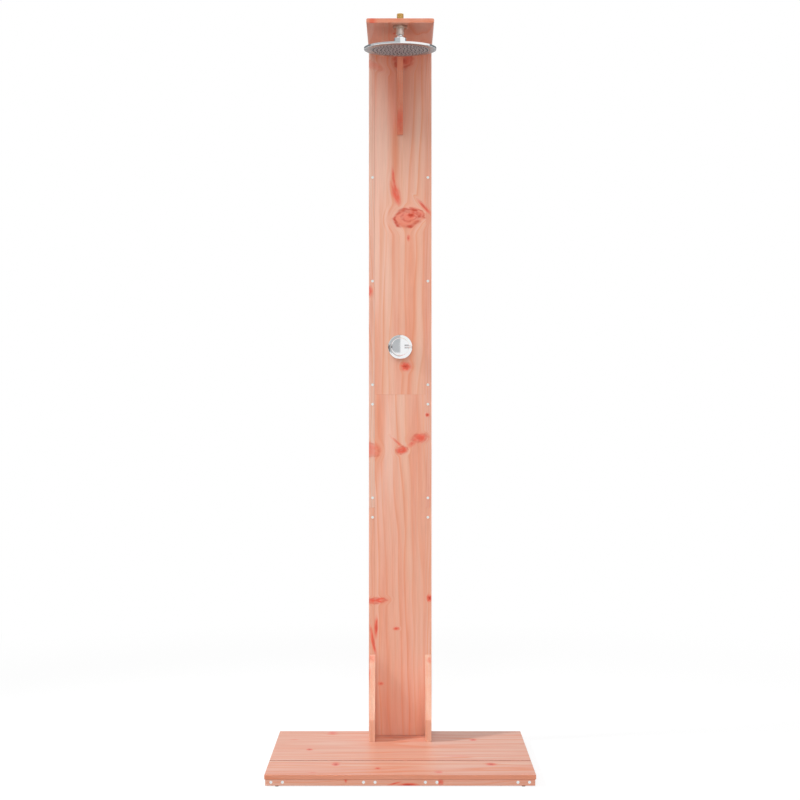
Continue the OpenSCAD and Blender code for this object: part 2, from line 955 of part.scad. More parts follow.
module lever_hub() {
    color(chrome)
        at_valve()
            difference() {
                rotate_extrude($fn = 96)
                    polygon(concat(
                        [[0, hub_low + hub_recess_h], [hub_recess_r, hub_low + hub_recess_h]],
                        [[hub_recess_r, hub_low], [hub_r - 0.5, hub_low], [hub_r, hub_low + 0.5]],
                        [
                            for (a = [0:15:75])
                                [
                                    hub_r - hub_round * (1 - cos(a)),
                                    hub_top - hub_dome_h - hub_round * (1 - sin(a))
                                ]
                        ],
                        [
                            for (i = [8:-1:0])
                                [hub_face_r * i / 8, hub_top - hub_dome_h * pow(i / 8, 2)]
                        ]
                    ));
                cylinder(h = stem_out + hole_play, r = stem_r + thread_play);
                translate([notch_start, 0, lever_h])
                    rotate(to_right)
                        cylinder(h = hub_r, r = notch_w / 2);
                translate([notch_start, -notch_w / 2, lever_h])
                    cube([hub_r, notch_w, hub_top - lever_h + past]);
                translate([lever_root - hole_play, 0, lever_h])
                    rotate(to_right)
                        cylinder(h = hub_r, r = lever_r + thread_play);
                rotate(-set_screw_turn)
                    translate([0, -hub_r - past, set_screw_h])
                        rotate(to_back)
                            cylinder(h = hub_r + past, r = set_screw_r + thread_play, $fn = 24);
            }
}

module lever_pin() {
    color(chrome)
        at_valve()
            translate([0, 0, lever_h])
                rotate(to_right)
                    rotate_extrude($fn = 48)
                        polygon([
                            [0, lever_root], [lever_r, lever_root], [lever_r, lever_reach - 1.6],
                            [lever_r - 0.5, lever_reach - 0.5], [lever_r - 1.6, lever_reach],
                            [0, lever_reach]
                        ]);
}

module set_screw() {
    color(steel)
        at_valve()
            rotate(-set_screw_turn)
                translate([0, -stem_r - hole_play - set_screw_l, set_screw_h])
                    rotate(to_back)
                        difference() {
                            cylinder(h = set_screw_l, r = set_screw_r, $fn = 24);
                            translate([0, 0, -past])
                                hexagon(set_screw_r, 2.5 + past);
                        }
}

// Shower arm

module inlet_nipple() {
    color(brass)
        on_arm(0)
            rotate_extrude()
                polygon([
                    [nipple_bore_r, nipple_bottom], [thread_r, nipple_bottom],
                    [thread_r, thread_foot - relief_h], [relief_r, thread_foot - relief_h],
                    [relief_r, thread_foot], [thread_r, thread_foot],
                    [thread_r, nipple_top], [nipple_bore_r, nipple_top]
                ]);
}

module lock_nut() {
    color(brass)
        on_arm(shelf_top + washer_t)
            difference() {
                hexagon(lock_nut_af, lock_nut_t);
                translate([0, 0, -past])
                    cylinder(h = lock_nut_t + 2 * past, r = thread_r + thread_play);
            }
}

module nut_washer() {
    color(steel)
        on_arm(shelf_top)
            ring(thread_r + thread_play * 2, washer_r, 0, washer_t);
}

module arm_flange() {
    color(chrome)
        on_arm(column_top)
            rotate_extrude($fn = 96)
                polygon([
                    [tube_r + thread_play, 0], [flange_r, 0], [flange_r, -flange_h + 0.8],
                    [flange_r - 0.25, -flange_h + 0.25], [flange_r - 0.8, -flange_h],
                    [tube_r + thread_play, -flange_h]
                ]);
}

module arm_tube() {
    color(chrome)
        on_arm(0)
            rotate_extrude($fn = 96)
                polygon([
                    [tube_bore_r, tube_bottom], [tube_r - 0.8, tube_bottom], [tube_r, tube_bottom + 0.8],
                    [tube_r, column_top], [tube_bore_r, column_top]
                ]);
}

module filter_washer() {
    color(rubber)
        on_arm(stem_top)
            ring(ball_bore_r, thread_r - 0.8, 0, filter_t);
}

// Ball with its threaded stem, which turns in the arm tube
module ball_stem() {
    color(chrome)
        on_arm(0)
            difference() {
                union() {
                    translate([0, 0, ball_z])
                        sphere(r = ball_r, $fn = 96);
                    translate([0, 0, ball_z])
                        cylinder(h = stem_top - ball_z, r = ball_neck_r);
                    translate([0, 0, tube_bottom + 1])
                        cylinder(h = stem_top - tube_bottom - 1, r = thread_r);
                }
                translate([0, 0, ball_z - ball_r - past])
                    cylinder(h = stem_top - ball_z + ball_r + 2 * past, r = ball_bore_r);
            }
}

// Shower head

module ball_seal() {
    color(rubber)
        in_head()
            difference() {
                ring(chamber_neck_r, seal_r, seal_low, seal_top);
                sphere(r = ball_r + ball_play / 2, $fn = 96);
            }
}

module collar_nut() {
    color(chrome)
        in_head()
            difference() {
                rotate_extrude($fn = 96)
                    polygon([
                        [0, -neck_drop + 0.3], [collar_r - 1.4, -neck_drop + 0.3],
                        [collar_r - 0.4, -neck_drop + 1.6], [collar_r, -neck_drop + 5],
                        [collar_r, collar_rise - 5], [collar_r - 0.5, collar_rise - 2.6],
                        [collar_r - 1.8, collar_rise - 0.8], [collar_r - 3.4, collar_rise], [0, collar_rise]
                    ]);
                translate([0, 0, -neck_drop - past])
                    cylinder(h = neck_drop + past + neck_top + 1, r = neck_r + thread_play);
                sphere(r = ball_r + ball_play, $fn = 96);
                cylinder(h = collar_rise + past, r = lip_r);
                translate([0, 0, collar_lip_h])
                    cylinder(h = collar_rise - collar_lip_h + past, r1 = lip_r, r2 = lip_r + 2);
            }
}

// Dished shell: back dome, upright rim, nearly flat ring round the face and the neck for the collar nut
module head_shell() {
    dome = [
        for (i = [0:8])
            [
                neck_r + 3 + (head_r - neck_r - 3) * i / 8,
                -neck_drop - dome_h * pow(i / 8, 1.6)
            ]
    ];
    color(chrome)
        in_head()
            rotate_extrude($fn = 128)
                polygon(concat(
                    [[chamber_neck_r, seal_low - 0.1], [ball_r + ball_play, seal_low - 0.1]],
                    [[ball_r + ball_play, neck_top], [neck_r, neck_top], [neck_r, -neck_drop]],
                    dome,
                    [
                        for (a = [0:30:90])
                            [
                                head_r - rim_round * (1 - cos(a)),
                                rim_top - rim_side_h + rim_round * (1 - sin(a))
                            ]
                    ],
                    [[face_r + 0.4, face_low], [face_r, face_low]],
                    [[face_fit_r, face_low], [face_fit_r, face_low + face_t + mat_t + 0.4]],
                    [
                        [rim_foot_r - shell_wall, rim_top - rim_side_h + shell_wall],
                        [head_r - 2 * shell_wall, rim_top - shell_wall]
                    ],
                    [for (i = [6:-1:1]) [dome[i][0], dome[i][1] - shell_wall]],
                    [[chamber_neck_r, -neck_drop - shell_wall - 0.3]]
                ));
}

// Rings of points: six in the first ring, and six more in each ring after it, each turned from the last
module nozzle_places() {
    for (i = [1:nozzle_rings], j = [0:6 * i - 1])
        rotate(60 * j / i + ring_turn * i)
            translate([nozzle_pitch * i, 0, 0])
                children();
}

module face_plate() {
    color(grey_plastic)
        in_head()
            difference() {
                translate([0, 0, face_low])
                    cylinder(h = face_t, r = face_fit_r - thread_play, $fn = 128);
                translate([0, 0, face_low - past])
                    nozzle_places()
                        cylinder(h = face_t + 2 * past, r = nozzle_r + hole_play, $fn = 16);
            }
}

module nozzle_mat() {
    color(rubber)
        in_head()
            union() {
                translate([0, 0, face_low + face_t])
                    cylinder(h = mat_t, r = mat_r, $fn = 96);
                translate([0, 0, face_low - nozzle_out])
                    nozzle_places()
                        cylinder(h = nozzle_h, r1 = nozzle_r * 0.75, r2 = nozzle_r, $fn = 16);
            }
}

deck_board_front();
deck_board_rear();
rail(-1);  // front_rail
rail(1);  // rear_rail
joist(joist_xs[0]);  // joist_left
joist(joist_xs[1]);  // joist_mid_left
joist(joist_xs[2]);  // joist_mid_right
joist(joist_xs[3]);  // joist_right
foot_pads();
deck_screws();
rail_screws();
column_screws();
front_panel(deck_top, joint_z);  // front_panel_lower
front_panel(joint_z, column_top);  // front_panel_upper
side_board(-1, deck_top, joint_z);  // side_board_lower_left
side_board(1, deck_top, joint_z);  // side_board_lower_right
side_board(-1, joint_z, column_top);  // side_board_upper_left
side_board(1, joint_z, column_top);  // side_board_upper_right
edge_strip(-1, deck_top, split_z);  // edge_strip_lower_left
edge_strip(1, deck_top, split_z);  // edge_strip_lower_right
edge_strip(-1, split_z, column_top);  // edge_strip_upper_left
edge_strip(1, split_z, column_top);  // edge_strip_upper_right
strip_screws();
splice(-1);  // splice_left
splice(1);  // splice_right
panel_cleats();
frame_screws();
panel_screws();
base_gusset(-1);  // base_gusset_left
base_gusset(1);  // base_gusset_right
top_gusset();
gusset_screws();
shelf_board();
shelf_screws();
valve_body();
valve_sleeve();
valve_spindle();
spindle_seals();
gland_nut();
back_nut();
cover_gasket();
cover_plate();
cover_ring();
lever_hub();
lever_pin();
set_screw();
inlet_nipple();
lock_nut();
nut_washer();
arm_flange();
arm_tube();
filter_washer();
ball_stem();
ball_seal();
collar_nut();
head_shell();
face_plate();
nozzle_mat();
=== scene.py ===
import math
import bpy
import numpy as np
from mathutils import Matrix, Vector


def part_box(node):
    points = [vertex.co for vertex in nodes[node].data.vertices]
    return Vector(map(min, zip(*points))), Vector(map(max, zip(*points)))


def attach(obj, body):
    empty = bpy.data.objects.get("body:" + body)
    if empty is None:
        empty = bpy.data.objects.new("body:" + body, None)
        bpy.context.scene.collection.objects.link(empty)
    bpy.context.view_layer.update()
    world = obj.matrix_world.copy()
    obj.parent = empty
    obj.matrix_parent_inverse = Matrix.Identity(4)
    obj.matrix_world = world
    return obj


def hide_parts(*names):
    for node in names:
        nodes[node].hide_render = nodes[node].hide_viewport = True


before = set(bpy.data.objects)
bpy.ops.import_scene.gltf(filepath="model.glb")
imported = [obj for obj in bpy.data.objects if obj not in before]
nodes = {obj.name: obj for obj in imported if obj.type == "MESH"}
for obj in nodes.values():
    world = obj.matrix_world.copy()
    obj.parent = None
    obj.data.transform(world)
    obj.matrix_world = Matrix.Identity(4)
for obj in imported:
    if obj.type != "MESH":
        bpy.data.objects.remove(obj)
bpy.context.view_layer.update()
scene = bpy.context.scene
scene.view_settings.view_transform = "Standard"
print("frame:", len(nodes), "nodes")

# camera: level, so the horizon runs through the middle of the picture, and straight in front of the deck
view = {
    "height": 1.138,
    "distance": 4.828,   # in front of the middle of the deck
    "lens": 69.3,        # on a 36 mm sensor
    "shift": -0.00025,   # the column stands a fifth of a pixel right of the middle
}
cameraData = bpy.data.cameras.new("camera")
cameraData.lens = view["lens"]
cameraData.sensor_width = 36
cameraData.shift_x = view["shift"]
camera = bpy.data.objects.new("camera", cameraData)
camera.location = (0, -view["distance"], view["height"])
camera.rotation_euler = (math.pi / 2, 0, 0)
scene.collection.objects.link(camera)
scene.camera = camera
print("camera set")


# sRGB hex to linear: a straight line in the dark, the 2.4 power above it
def toLinear(hexColour):
    parts = np.array([int(hexColour[i:i + 2], 16) for i in (1, 3, 5)]) / 255
    curve = np.where(parts <= 0.04045, parts / 12.92, ((parts + 0.055) / 1.055) ** 2.4)
    return (*curve.tolist(), 1.0)


# adds a node: feeds are its inputs, each a value or another node's socket, and stops are a ramp's colours
def addNode(tree, kind, feeds=None, stops=None, **settings):
    node = tree.nodes.new(kind)
    for name, value in settings.items():
        setattr(node, name, value)
    for socket, value in (feeds or {}).items():
        if isinstance(value, bpy.types.NodeSocket):
            tree.links.new(value, node.inputs[socket])
        else:
            node.inputs[socket].default_value = value
    for i, (place, colour) in enumerate(stops or []):
        elements = node.color_ramp.elements
        element = elements[i] if i < 2 else elements.new(place)
        element.position = place
        element.color = toLinear(colour)
    return node


# an empty material with its shader, ready for a pattern
def newMaterial(name):
    material = bpy.data.materials.new(name)
    material.use_nodes = True
    tree = material.node_tree
    tree.nodes.clear()
    shader = addNode(tree, "ShaderNodeBsdfPrincipled")
    addNode(tree, "ShaderNodeOutputMaterial", {"Surface": shader.outputs[0]})
    return material, tree, shader


def newGroup(name, takes, gives):
    group = bpy.data.node_groups.new(name, "ShaderNodeTree")
    for words, direction in ((takes, "INPUT"), (gives, "OUTPUT")):
        for label, kind in words.items():
            group.interface.new_socket(label, in_out=direction, socket_type="NodeSocket" + kind)
    return group, addNode(group, "NodeGroupInput").outputs


# 1 for rays from the camera, from reflections and through glass, and 0 for light that falls on things
def seenShare(tree, ray):
    seen = addNode(tree, "ShaderNodeMath", {
        0: ray.outputs["Is Camera Ray"], 1: ray.outputs["Is Glossy Ray"]}, operation="ADD")
    through = addNode(tree, "ShaderNodeMath", {
        0: seen.outputs[0], 1: ray.outputs["Is Transmission Ray"]}, operation="ADD", use_clamp=True)
    return through.outputs[0]


# how every knot looks. Distances are in knot radii, and each range turns a distance or a noise into a share.
knotLook = {
    "noise": {"Scale": 1.7, "Detail": 1.6, "Roughness": 0.5},
    "seed": 0.37,        # the knot's place in mm times this moves the noise, so no two are alike
    "bend": 0.7,         # how far noise moves the outline, and half of it is taken off again
    "rimAt": 0.86,
    "grip": {"From Min": 0.6, "From Max": 2.1, "To Min": 0.7, "To Max": 0.0},      # how far lines are pushed
    "stained": {"From Min": 0.35, "From Max": 1.35, "To Min": 1.0, "To Max": 0.0},
    "patches": {"From Min": 0.36, "From Max": 0.58, "To Min": 0.62, "To Max": 1.0},
    "rimLine": {"From Min": 0.03, "From Max": 0.27, "To Min": 1.0, "To Max": 0.0},
    "broken": {"From Min": 0.38, "From Max": 0.6, "To Min": 0.25, "To Max": 1.0},
    "heart": {"From Min": 0.08, "From Max": 0.62, "To Min": 1.0, "To Max": 0.0},
}


# One knot, in millimetres on the board. The distance to its middle, in knot radii, is bent by noise. Resin
# stains the wood red up to the rim, in patches. The rim is darker and broken, and the heart is dark.
# The grain's lines are pushed out round it: a point near it takes the line that runs nearer to its middle.
def makeKnotGroup():
    group, given = newGroup(
        "knot",
        {"Point": "Vector", "Flow": "Vector", "Red": "Float", "Dark": "Float", "Centre": "Vector",
         "Radii": "Vector", "Turn": "Vector", "Stain": "Float", "Rim": "Float", "Heart": "Float"},
        {"Flow": "Vector", "Red": "Float", "Dark": "Float"},
    )
    local = addNode(group, "ShaderNodeMapping", {
        "Vector": given["Point"], "Location": given["Centre"], "Rotation": given["Turn"],
        "Scale": given["Radii"]}, vector_type="TEXTURE")
    length = addNode(group, "ShaderNodeVectorMath", {0: local.outputs[0]}, operation="LENGTH")
    seeded = addNode(group, "ShaderNodeVectorMath", {
        0: given["Centre"], 1: [knotLook["seed"]] * 3, 2: local.outputs[0]}, operation="MULTIPLY_ADD")
    noise = addNode(group, "ShaderNodeTexNoise", {"Vector": seeded.outputs[0], **knotLook["noise"]})
    parts = addNode(group, "ShaderNodeSeparateColor", {0: noise.outputs["Color"]})
    bent = addNode(group, "ShaderNodeMath", {
        0: parts.outputs[0], 1: knotLook["bend"], 2: length.outputs["Value"]}, operation="MULTIPLY_ADD")
    distance = addNode(group, "ShaderNodeMath", {
        0: bent.outputs[0], 1: knotLook["bend"] / 2}, operation="SUBTRACT")
    grip = addNode(group, "ShaderNodeMapRange", {
        "Value": length.outputs["Value"], **knotLook["grip"]}, interpolation_type="SMOOTHERSTEP")
    away = addNode(group, "ShaderNodeVectorMath", {
        0: given["Point"], 1: given["Centre"]}, operation="SUBTRACT")
    across = addNode(group, "ShaderNodeVectorMath", {
        0: away.outputs[0], 1: (1, 0, 0)}, operation="MULTIPLY")
    push = addNode(group, "ShaderNodeVectorMath", {
        0: across.outputs[0], "Scale": grip.outputs[0]}, operation="SCALE")
    flow = addNode(group, "ShaderNodeVectorMath", {
        0: given["Flow"], 1: push.outputs[0]}, operation="SUBTRACT")
    fill = addNode(group, "ShaderNodeMapRange", {
        "Value": distance.outputs[0], **knotLook["stained"]}, interpolation_type="SMOOTHSTEP")
    patches = addNode(group, "ShaderNodeMapRange", {"Value": parts.outputs[1], **knotLook["patches"]})
    stained = addNode(group, "ShaderNodeMath", {
        0: fill.outputs[0], 1: patches.outputs[0]}, operation="MULTIPLY")
    stain = addNode(group, "ShaderNodeMath", {
        0: stained.outputs[0], 1: given["Stain"]}, operation="MULTIPLY")
    red = addNode(group, "ShaderNodeMath", {0: given["Red"], 1: stain.outputs[0]}, operation="MAXIMUM")
    fromRim = addNode(group, "ShaderNodeMath", {
        0: distance.outputs[0], 1: knotLook["rimAt"]}, operation="SUBTRACT")
    rimNear = addNode(group, "ShaderNodeMath", {0: fromRim.outputs[0]}, operation="ABSOLUTE")
    rimLine = addNode(group, "ShaderNodeMapRange", {
        "Value": rimNear.outputs[0], **knotLook["rimLine"]}, interpolation_type="SMOOTHSTEP")
    broken = addNode(group, "ShaderNodeMapRange", {"Value": parts.outputs[2], **knotLook["broken"]})
    rimBroken = addNode(group, "ShaderNodeMath", {
        0: rimLine.outputs[0], 1: broken.outputs[0]}, operation="MULTIPLY")
    rim = addNode(group, "ShaderNodeMath", {
        0: rimBroken.outputs[0], 1: given["Rim"]}, operation="MULTIPLY")
    heartNear = addNode(group, "ShaderNodeMapRange", {
        "Value": distance.outputs[0], **knotLook["heart"]}, interpolation_type="SMOOTHSTEP")
    heart = addNode(group, "ShaderNodeMath", {
        0: heartNear.outputs[0], 1: given["Heart"]}, operation="MULTIPLY")
    own = addNode(group, "ShaderNodeMath", {0: rim.outputs[0], 1: heart.outputs[0]}, operation="MAXIMUM")
    dark = addNode(group, "ShaderNodeMath", {0: given["Dark"], 1: own.outputs[0]}, operation="MAXIMUM")
    addNode(group, "NodeGroupOutput", {
        "Flow": flow.outputs[0], "Red": red.outputs[0], "Dark": dark.outputs[0]})
    return group


# The grain in millimetres. Each size is one wave of the noise across the board, and along the board the
# noise is slowed to the share that along gives.
grainLook = {
    "drift": {"size": 95, "by": 60, "along": 0.14},
    "streak": {"size": 26, "along": 0.03},
    "fibre": 2.2,         # far coarser than real fibres, which wouldn't show
    "cloud": 60,
    "ringNoise": 0.55,    # waves for each ring, so neighbours differ in darkness
    "ringWeight": {"From Min": 0.4, "From Max": 0.62, "To Min": 0.25, "To Max": 1.0},
    # how much late wood there is, from one ring's start to the next
    "lateRamp": [(0.0, "#303030"), (1.0, "#303030"), (0.22, "#000000"), (0.6, "#A8A8A8"),
                 (0.84, "#F0F0F0"), (0.9, "#FFFFFF"), (0.96, "#B0B0B0")],
}


# Growth rings round the tree's pith, in millimetres. The radius is the distance to the pith's line, plus a
# taper along the trunk, and noise moves the line. Each ring darkens slowly and ends sharply in late wood.
def makeGrainGroup():
    group, given = newGroup(
        "grain",
        {"Flow": "Vector", "Pith": "Vector", "Seed": "Vector", "Ring": "Float", "Taper": "Float"},
        {"Late": "Float", "Streak": "Float", "Fibre": "Float", "Cloud": "Float"},
    )
    wave, stripe = grainLook["drift"], grainLook["streak"]
    placed = addNode(group, "ShaderNodeVectorMath", {0: given["Flow"], 1: given["Seed"]}, operation="ADD")
    long = addNode(group, "ShaderNodeVectorMath", {
        0: placed.outputs[0], 1: (1, 1, wave["along"])}, operation="MULTIPLY")
    drift = addNode(group, "ShaderNodeTexNoise", {
        "Vector": long.outputs[0], "Scale": 1 / wave["size"], "Detail": 2.0, "Roughness": 0.5})
    centred = addNode(group, "ShaderNodeVectorMath", {
        0: drift.outputs["Color"], 1: (0.5, 0.5, 0.5)}, operation="SUBTRACT")
    moved = addNode(group, "ShaderNodeVectorMath", {
        0: centred.outputs[0], 1: (wave["by"], wave["by"], 0), 2: given["Flow"]}, operation="MULTIPLY_ADD")
    fromPith = addNode(group, "ShaderNodeVectorMath", {
        0: moved.outputs[0], 1: given["Pith"]}, operation="SUBTRACT")
    flat = addNode(group, "ShaderNodeVectorMath", {
        0: fromPith.outputs[0], 1: (1, 1, 0)}, operation="MULTIPLY")
    radius = addNode(group, "ShaderNodeVectorMath", {0: flat.outputs[0]}, operation="LENGTH")
    parts = addNode(group, "ShaderNodeSeparateXYZ", {0: given["Flow"]})
    tapered = addNode(group, "ShaderNodeMath", {
        0: parts.outputs["Z"], 1: given["Taper"], 2: radius.outputs["Value"]}, operation="MULTIPLY_ADD")
    count = addNode(group, "ShaderNodeMath", {0: tapered.outputs[0], 1: given["Ring"]}, operation="DIVIDE")
    phase = addNode(group, "ShaderNodeMath", {0: count.outputs[0]}, operation="FRACT")
    late = addNode(group, "ShaderNodeValToRGB", {0: phase.outputs[0]}, stops=grainLook["lateRamp"])
    whole = addNode(group, "ShaderNodeTexNoise", {
        "W": count.outputs[0], "Scale": grainLook["ringNoise"], "Detail": 1.0}, noise_dimensions="1D")
    weight = addNode(group, "ShaderNodeMapRange", {"Value": whole.outputs[0], **grainLook["ringWeight"]})
    lateOut = addNode(group, "ShaderNodeMath", {
        0: late.outputs[0], 1: weight.outputs[0]}, operation="MULTIPLY")
    longer = addNode(group, "ShaderNodeVectorMath", {
        0: placed.outputs[0], 1: (1, 1, stripe["along"])}, operation="MULTIPLY")
    streak = addNode(group, "ShaderNodeTexNoise", {
        "Vector": longer.outputs[0], "Scale": 1 / stripe["size"], "Detail": 2.0, "Roughness": 0.55,
        "Distortion": 0.3})
    fibre = addNode(group, "ShaderNodeTexNoise", {
        "Vector": longer.outputs[0], "Scale": 1 / grainLook["fibre"], "Detail": 2.0, "Roughness": 0.6})
    cloud = addNode(group, "ShaderNodeTexNoise", {
        "Vector": long.outputs[0], "Scale": 1 / grainLook["cloud"], "Detail": 2.0})
    addNode(group, "NodeGroupOutput", {
        "Late": lateOut.outputs[0], "Streak": streak.outputs[0], "Fibre": fibre.outputs[0],
        "Cloud": cloud.outputs[0]})
    return group


knotGroup = makeKnotGroup()
grainGroup = makeGrainGroup()

# Douglas fir: planed, oiled boards. Salmon early wood, redder late wood and red knots, and the oil leaves a
# soft sheen. A low angle mirrors the bright floor in it.
firTones = {
    "pale": "#E8B49C",
    "salmon": "#E5A087",
    "late": "#E58D68",
    "cloudLight": "#EFC6B4",
    "knotRed": "#E8644E",
    "knotDark": "#C8432F",
    "endGrain": "#C67D5B",
    # dirt in the seam between the deck boards, and painted shade at the column's foot between the gussets
    "soilAndShade": "#A54A38",
}
firLook = {
    "streak": (0.34, 0.64),    # between them pale turns to salmon, and a board's tone moves both
    "toneShift": 0.14,
    "cloud": {"From Min": 0.45, "From Max": 0.75, "To Max": 0.5},
    "patch": {"From Min": 0.4, "From Max": 1.0, "To Max": 0.0},    # in patch radii
    "cutEnd": {"From Min": 0.8, "From Max": 0.98, "To Max": 0.5},  # by how squarely the face cuts the grain
    "fibre": {"From Min": 0.3, "From Max": 0.7, "To Min": 0.95, "To Max": 1.04},
    "rough": {"To Min": 0.36, "To Max": 0.48},                     # from early wood to late wood
    "relief": 0.00012,    # metres from early wood to late wood
    "fibreRelief": 0.6,   # as a share of that
    "bump": 0.6,
    "seedStep": (137.0, 71.0, 913.0),    # mm, far enough that no two boards share their noise
    "endless": 1e5,       # a radius through the board, so a knot goes right through
}
letters = {"X": 0, "Y": 1, "Z": 2}


# axes are the board's across, through and along directions. A knot is its place (across, along), its radii,
# its turn in degrees, and how strong its stain, rim and heart are. A patch is its place, its radii, its
# colour and its share. Boards differ in tone, tint and sheen.
def firMaterial(name, axes, pith, seed, ring=8.0, taper=0.02, knots=(), lateShare=0.7, tone=0.5,
                tint=(1, 1, 1), sheen=0.32, patches=()):
    material, tree, shader = newMaterial("fir_" + name)
    place = addNode(tree, "ShaderNodeTexCoord")
    sizes = addNode(tree, "ShaderNodeVectorMath", {
        0: place.outputs["Object"], "Scale": 1000.0}, operation="SCALE")
    split = addNode(tree, "ShaderNodeSeparateXYZ", {0: sizes.outputs[0]})
    point = addNode(tree, "ShaderNodeCombineXYZ", {
        i: split.outputs[letters[axis]] for i, axis in enumerate(axes)})
    flow, red, dark = point.outputs[0], 0.0, 0.0
    for (across, along), (wide, high), turn, (stain, rim, heart) in knots:
        knot = addNode(tree, "ShaderNodeGroup", {
            "Point": point.outputs[0], "Flow": flow, "Red": red, "Dark": dark,
            "Centre": (across, 0, along), "Radii": (wide, firLook["endless"], high),
            "Turn": (0, math.radians(turn), 0), "Stain": stain, "Rim": rim, "Heart": heart},
            node_tree=knotGroup)
        flow, red, dark = knot.outputs["Flow"], knot.outputs["Red"], knot.outputs["Dark"]
    grain = addNode(tree, "ShaderNodeGroup", {
        "Flow": flow, "Pith": (*pith, 0), "Seed": [seed * step for step in firLook["seedStep"]],
        "Ring": ring, "Taper": taper}, node_tree=grainGroup)
    shift = firLook["toneShift"] * (0.5 - tone)
    streak = addNode(tree, "ShaderNodeMapRange", {
        "Value": grain.outputs["Streak"], "From Min": firLook["streak"][0] + shift,
        "From Max": firLook["streak"][1] + shift})
    colour = addNode(tree, "ShaderNodeMix", {
        "Factor": streak.outputs[0], 6: toLinear(firTones["pale"]), 7: toLinear(firTones["salmon"])},
        data_type="RGBA")
    cloud = addNode(tree, "ShaderNodeMapRange", {"Value": grain.outputs["Cloud"], **firLook["cloud"]})
    ringed = addNode(tree, "ShaderNodeMath", {
        0: grain.outputs["Late"], 1: lateShare}, operation="MULTIPLY")
    # cut ends drink more oil, so they are darker
    facing = addNode(tree, "ShaderNodeSeparateXYZ", {0: place.outputs["Normal"]})
    endOn = addNode(tree, "ShaderNodeMath", {
        0: facing.outputs[letters[axes[2]]]}, operation="ABSOLUTE")
    endShare = addNode(tree, "ShaderNodeMapRange", {"Value": endOn.outputs[0], **firLook["cutEnd"]})
    # pale clouds first, then the rings and the patches, the knots' stain, their dark lines and the cut ends
    layers = [(cloud.outputs[0], "cloudLight"), (ringed.outputs[0], "late")]
    for (across, along), (wide, high), layer, strength in patches:
        local = addNode(tree, "ShaderNodeMapping", {
            "Vector": point.outputs[0], "Location": (across, 0, along),
            "Scale": (wide, firLook["endless"], high)}, vector_type="TEXTURE")
        length = addNode(tree, "ShaderNodeVectorMath", {0: local.outputs[0]}, operation="LENGTH")
        share = addNode(tree, "ShaderNodeMapRange", {
            "Value": length.outputs["Value"], "To Min": strength, **firLook["patch"]},
            interpolation_type="SMOOTHSTEP")
        layers.append((share.outputs[0], layer))
    layers += [(red, "knotRed"), (dark, "knotDark"), (endShare.outputs[0], "endGrain")]
    for share, layer in layers:
        colour = addNode(tree, "ShaderNodeMix", {
            "Factor": share, 6: colour.outputs[2], 7: toLinear(firTones[layer])}, data_type="RGBA")
    fibres = addNode(tree, "ShaderNodeMapRange", {"Value": grain.outputs["Fibre"], **firLook["fibre"]})
    lit = addNode(tree, "ShaderNodeVectorMath", {
        0: colour.outputs[2], "Scale": fibres.outputs[0]}, operation="SCALE")
    tinted = addNode(tree, "ShaderNodeVectorMath", {0: lit.outputs[0], 1: tint}, operation="MULTIPLY")
    tree.links.new(tinted.outputs[0], shader.inputs["Base Color"])
    shader.inputs["Specular IOR Level"].default_value = sheen
    rough = addNode(tree, "ShaderNodeMapRange", {"Value": grain.outputs["Late"], **firLook["rough"]})
    tree.links.new(rough.outputs[0], shader.inputs["Roughness"])
    height = addNode(tree, "ShaderNodeMath", {
        0: grain.outputs["Fibre"], 1: firLook["fibreRelief"], 2: grain.outputs["Late"]},
        operation="MULTIPLY_ADD")
    bump = addNode(tree, "ShaderNodeBump", {
        "Height": height.outputs[0], "Distance": firLook["relief"], "Strength": firLook["bump"]})
    tree.links.new(bump.outputs[0], shader.inputs["Normal"])
    return material


# puts a material on a node from the frame
def dress(nodeName, material):
    mesh = nodes[nodeName].data
    mesh.materials.clear()
    mesh.materials.append(material)


# how strong the stain, rim and heart are in the knots that several boards have
plainKnot, brightKnot, faintKnot = (0.85, 0.2, 0.8), (0.9, 0.15, 0.25), (0.5, 0.0, 0.1)
streakKnot = (1.0, 0.0, 0.35)
stainReach = 1.4    # in knot radii

# knots on the column's front, (across, up) in mm, shared by the panels and the strips beside them
frontKnots = [
    ((21, 1737), (48, 32), -8, (0.62, 0.95, 0.0)), ((30, 1742), (30, 18), -8, (0.3, 0.5, 0.0)),
    ((36, 1746), (24, 12), -8, (0.95, 0.0, 1.1)), ((54, 1753), (32, 15), 24, (0.75, 0.6, 0.0)),
    ((78, 1774), (36, 6), 48, (1.0, 0.0, 0.5)), ((-15, 1820), (13, 42), -16, (1.0, 0.0, 0.1)),
    ((-22, 1868), (5, 36), -6, (1.0, 0.0, 0.25)), ((27, 1671), (6, 11), 0, (0.8, 0.0, 0.35)),
    ((18, 1248), (19, 15), 0, (1.2, 0.0, 1.0)), ((-99, 1495), (9, 18), 0, (0.9, 0.0, 0.2)),
    ((10, 2254), (33, 26), 0, (0.6, 0.5, 0.5)), ((-86, 2238), (36, 12), 25, (0.35, 0.1, 0.0)),
    ((89, 1089), (7, 7), 0, (1.1, 0.0, 1.0)), ((64, 1013), (28, 15), -6, (1.0, 0.25, 0.15)),
    ((40, 995), (18, 8), -40, (0.7, 0.0, 0.1)), ((6, 973), (21, 13), -12, (1.2, 0.4, 0.3)),
    ((-9, 998), (30, 4), 42, (0.7, 0.0, 0.2)), ((-97, 974), (32, 25), 8, (0.65, 0.35, 0.1)),
    ((-76, 478), (32, 11), -4, (1.1, 0.4, 0.0)), ((96, 486), (10, 12), 0, (1.2, 0.0, 1.2)),
    ((-79, 390), (6, 34), 2, (1.3, 0.0, 0.5)), ((-89, 345), (6, 48), -10, (1.2, 0.0, 0.35)),
    ((-12, 386), (11, 6), 0, (1.0, 0.0, 0.35)), ((-63, 205), (9, 6), 0, (0.9, 0.0, 0.2)),
]


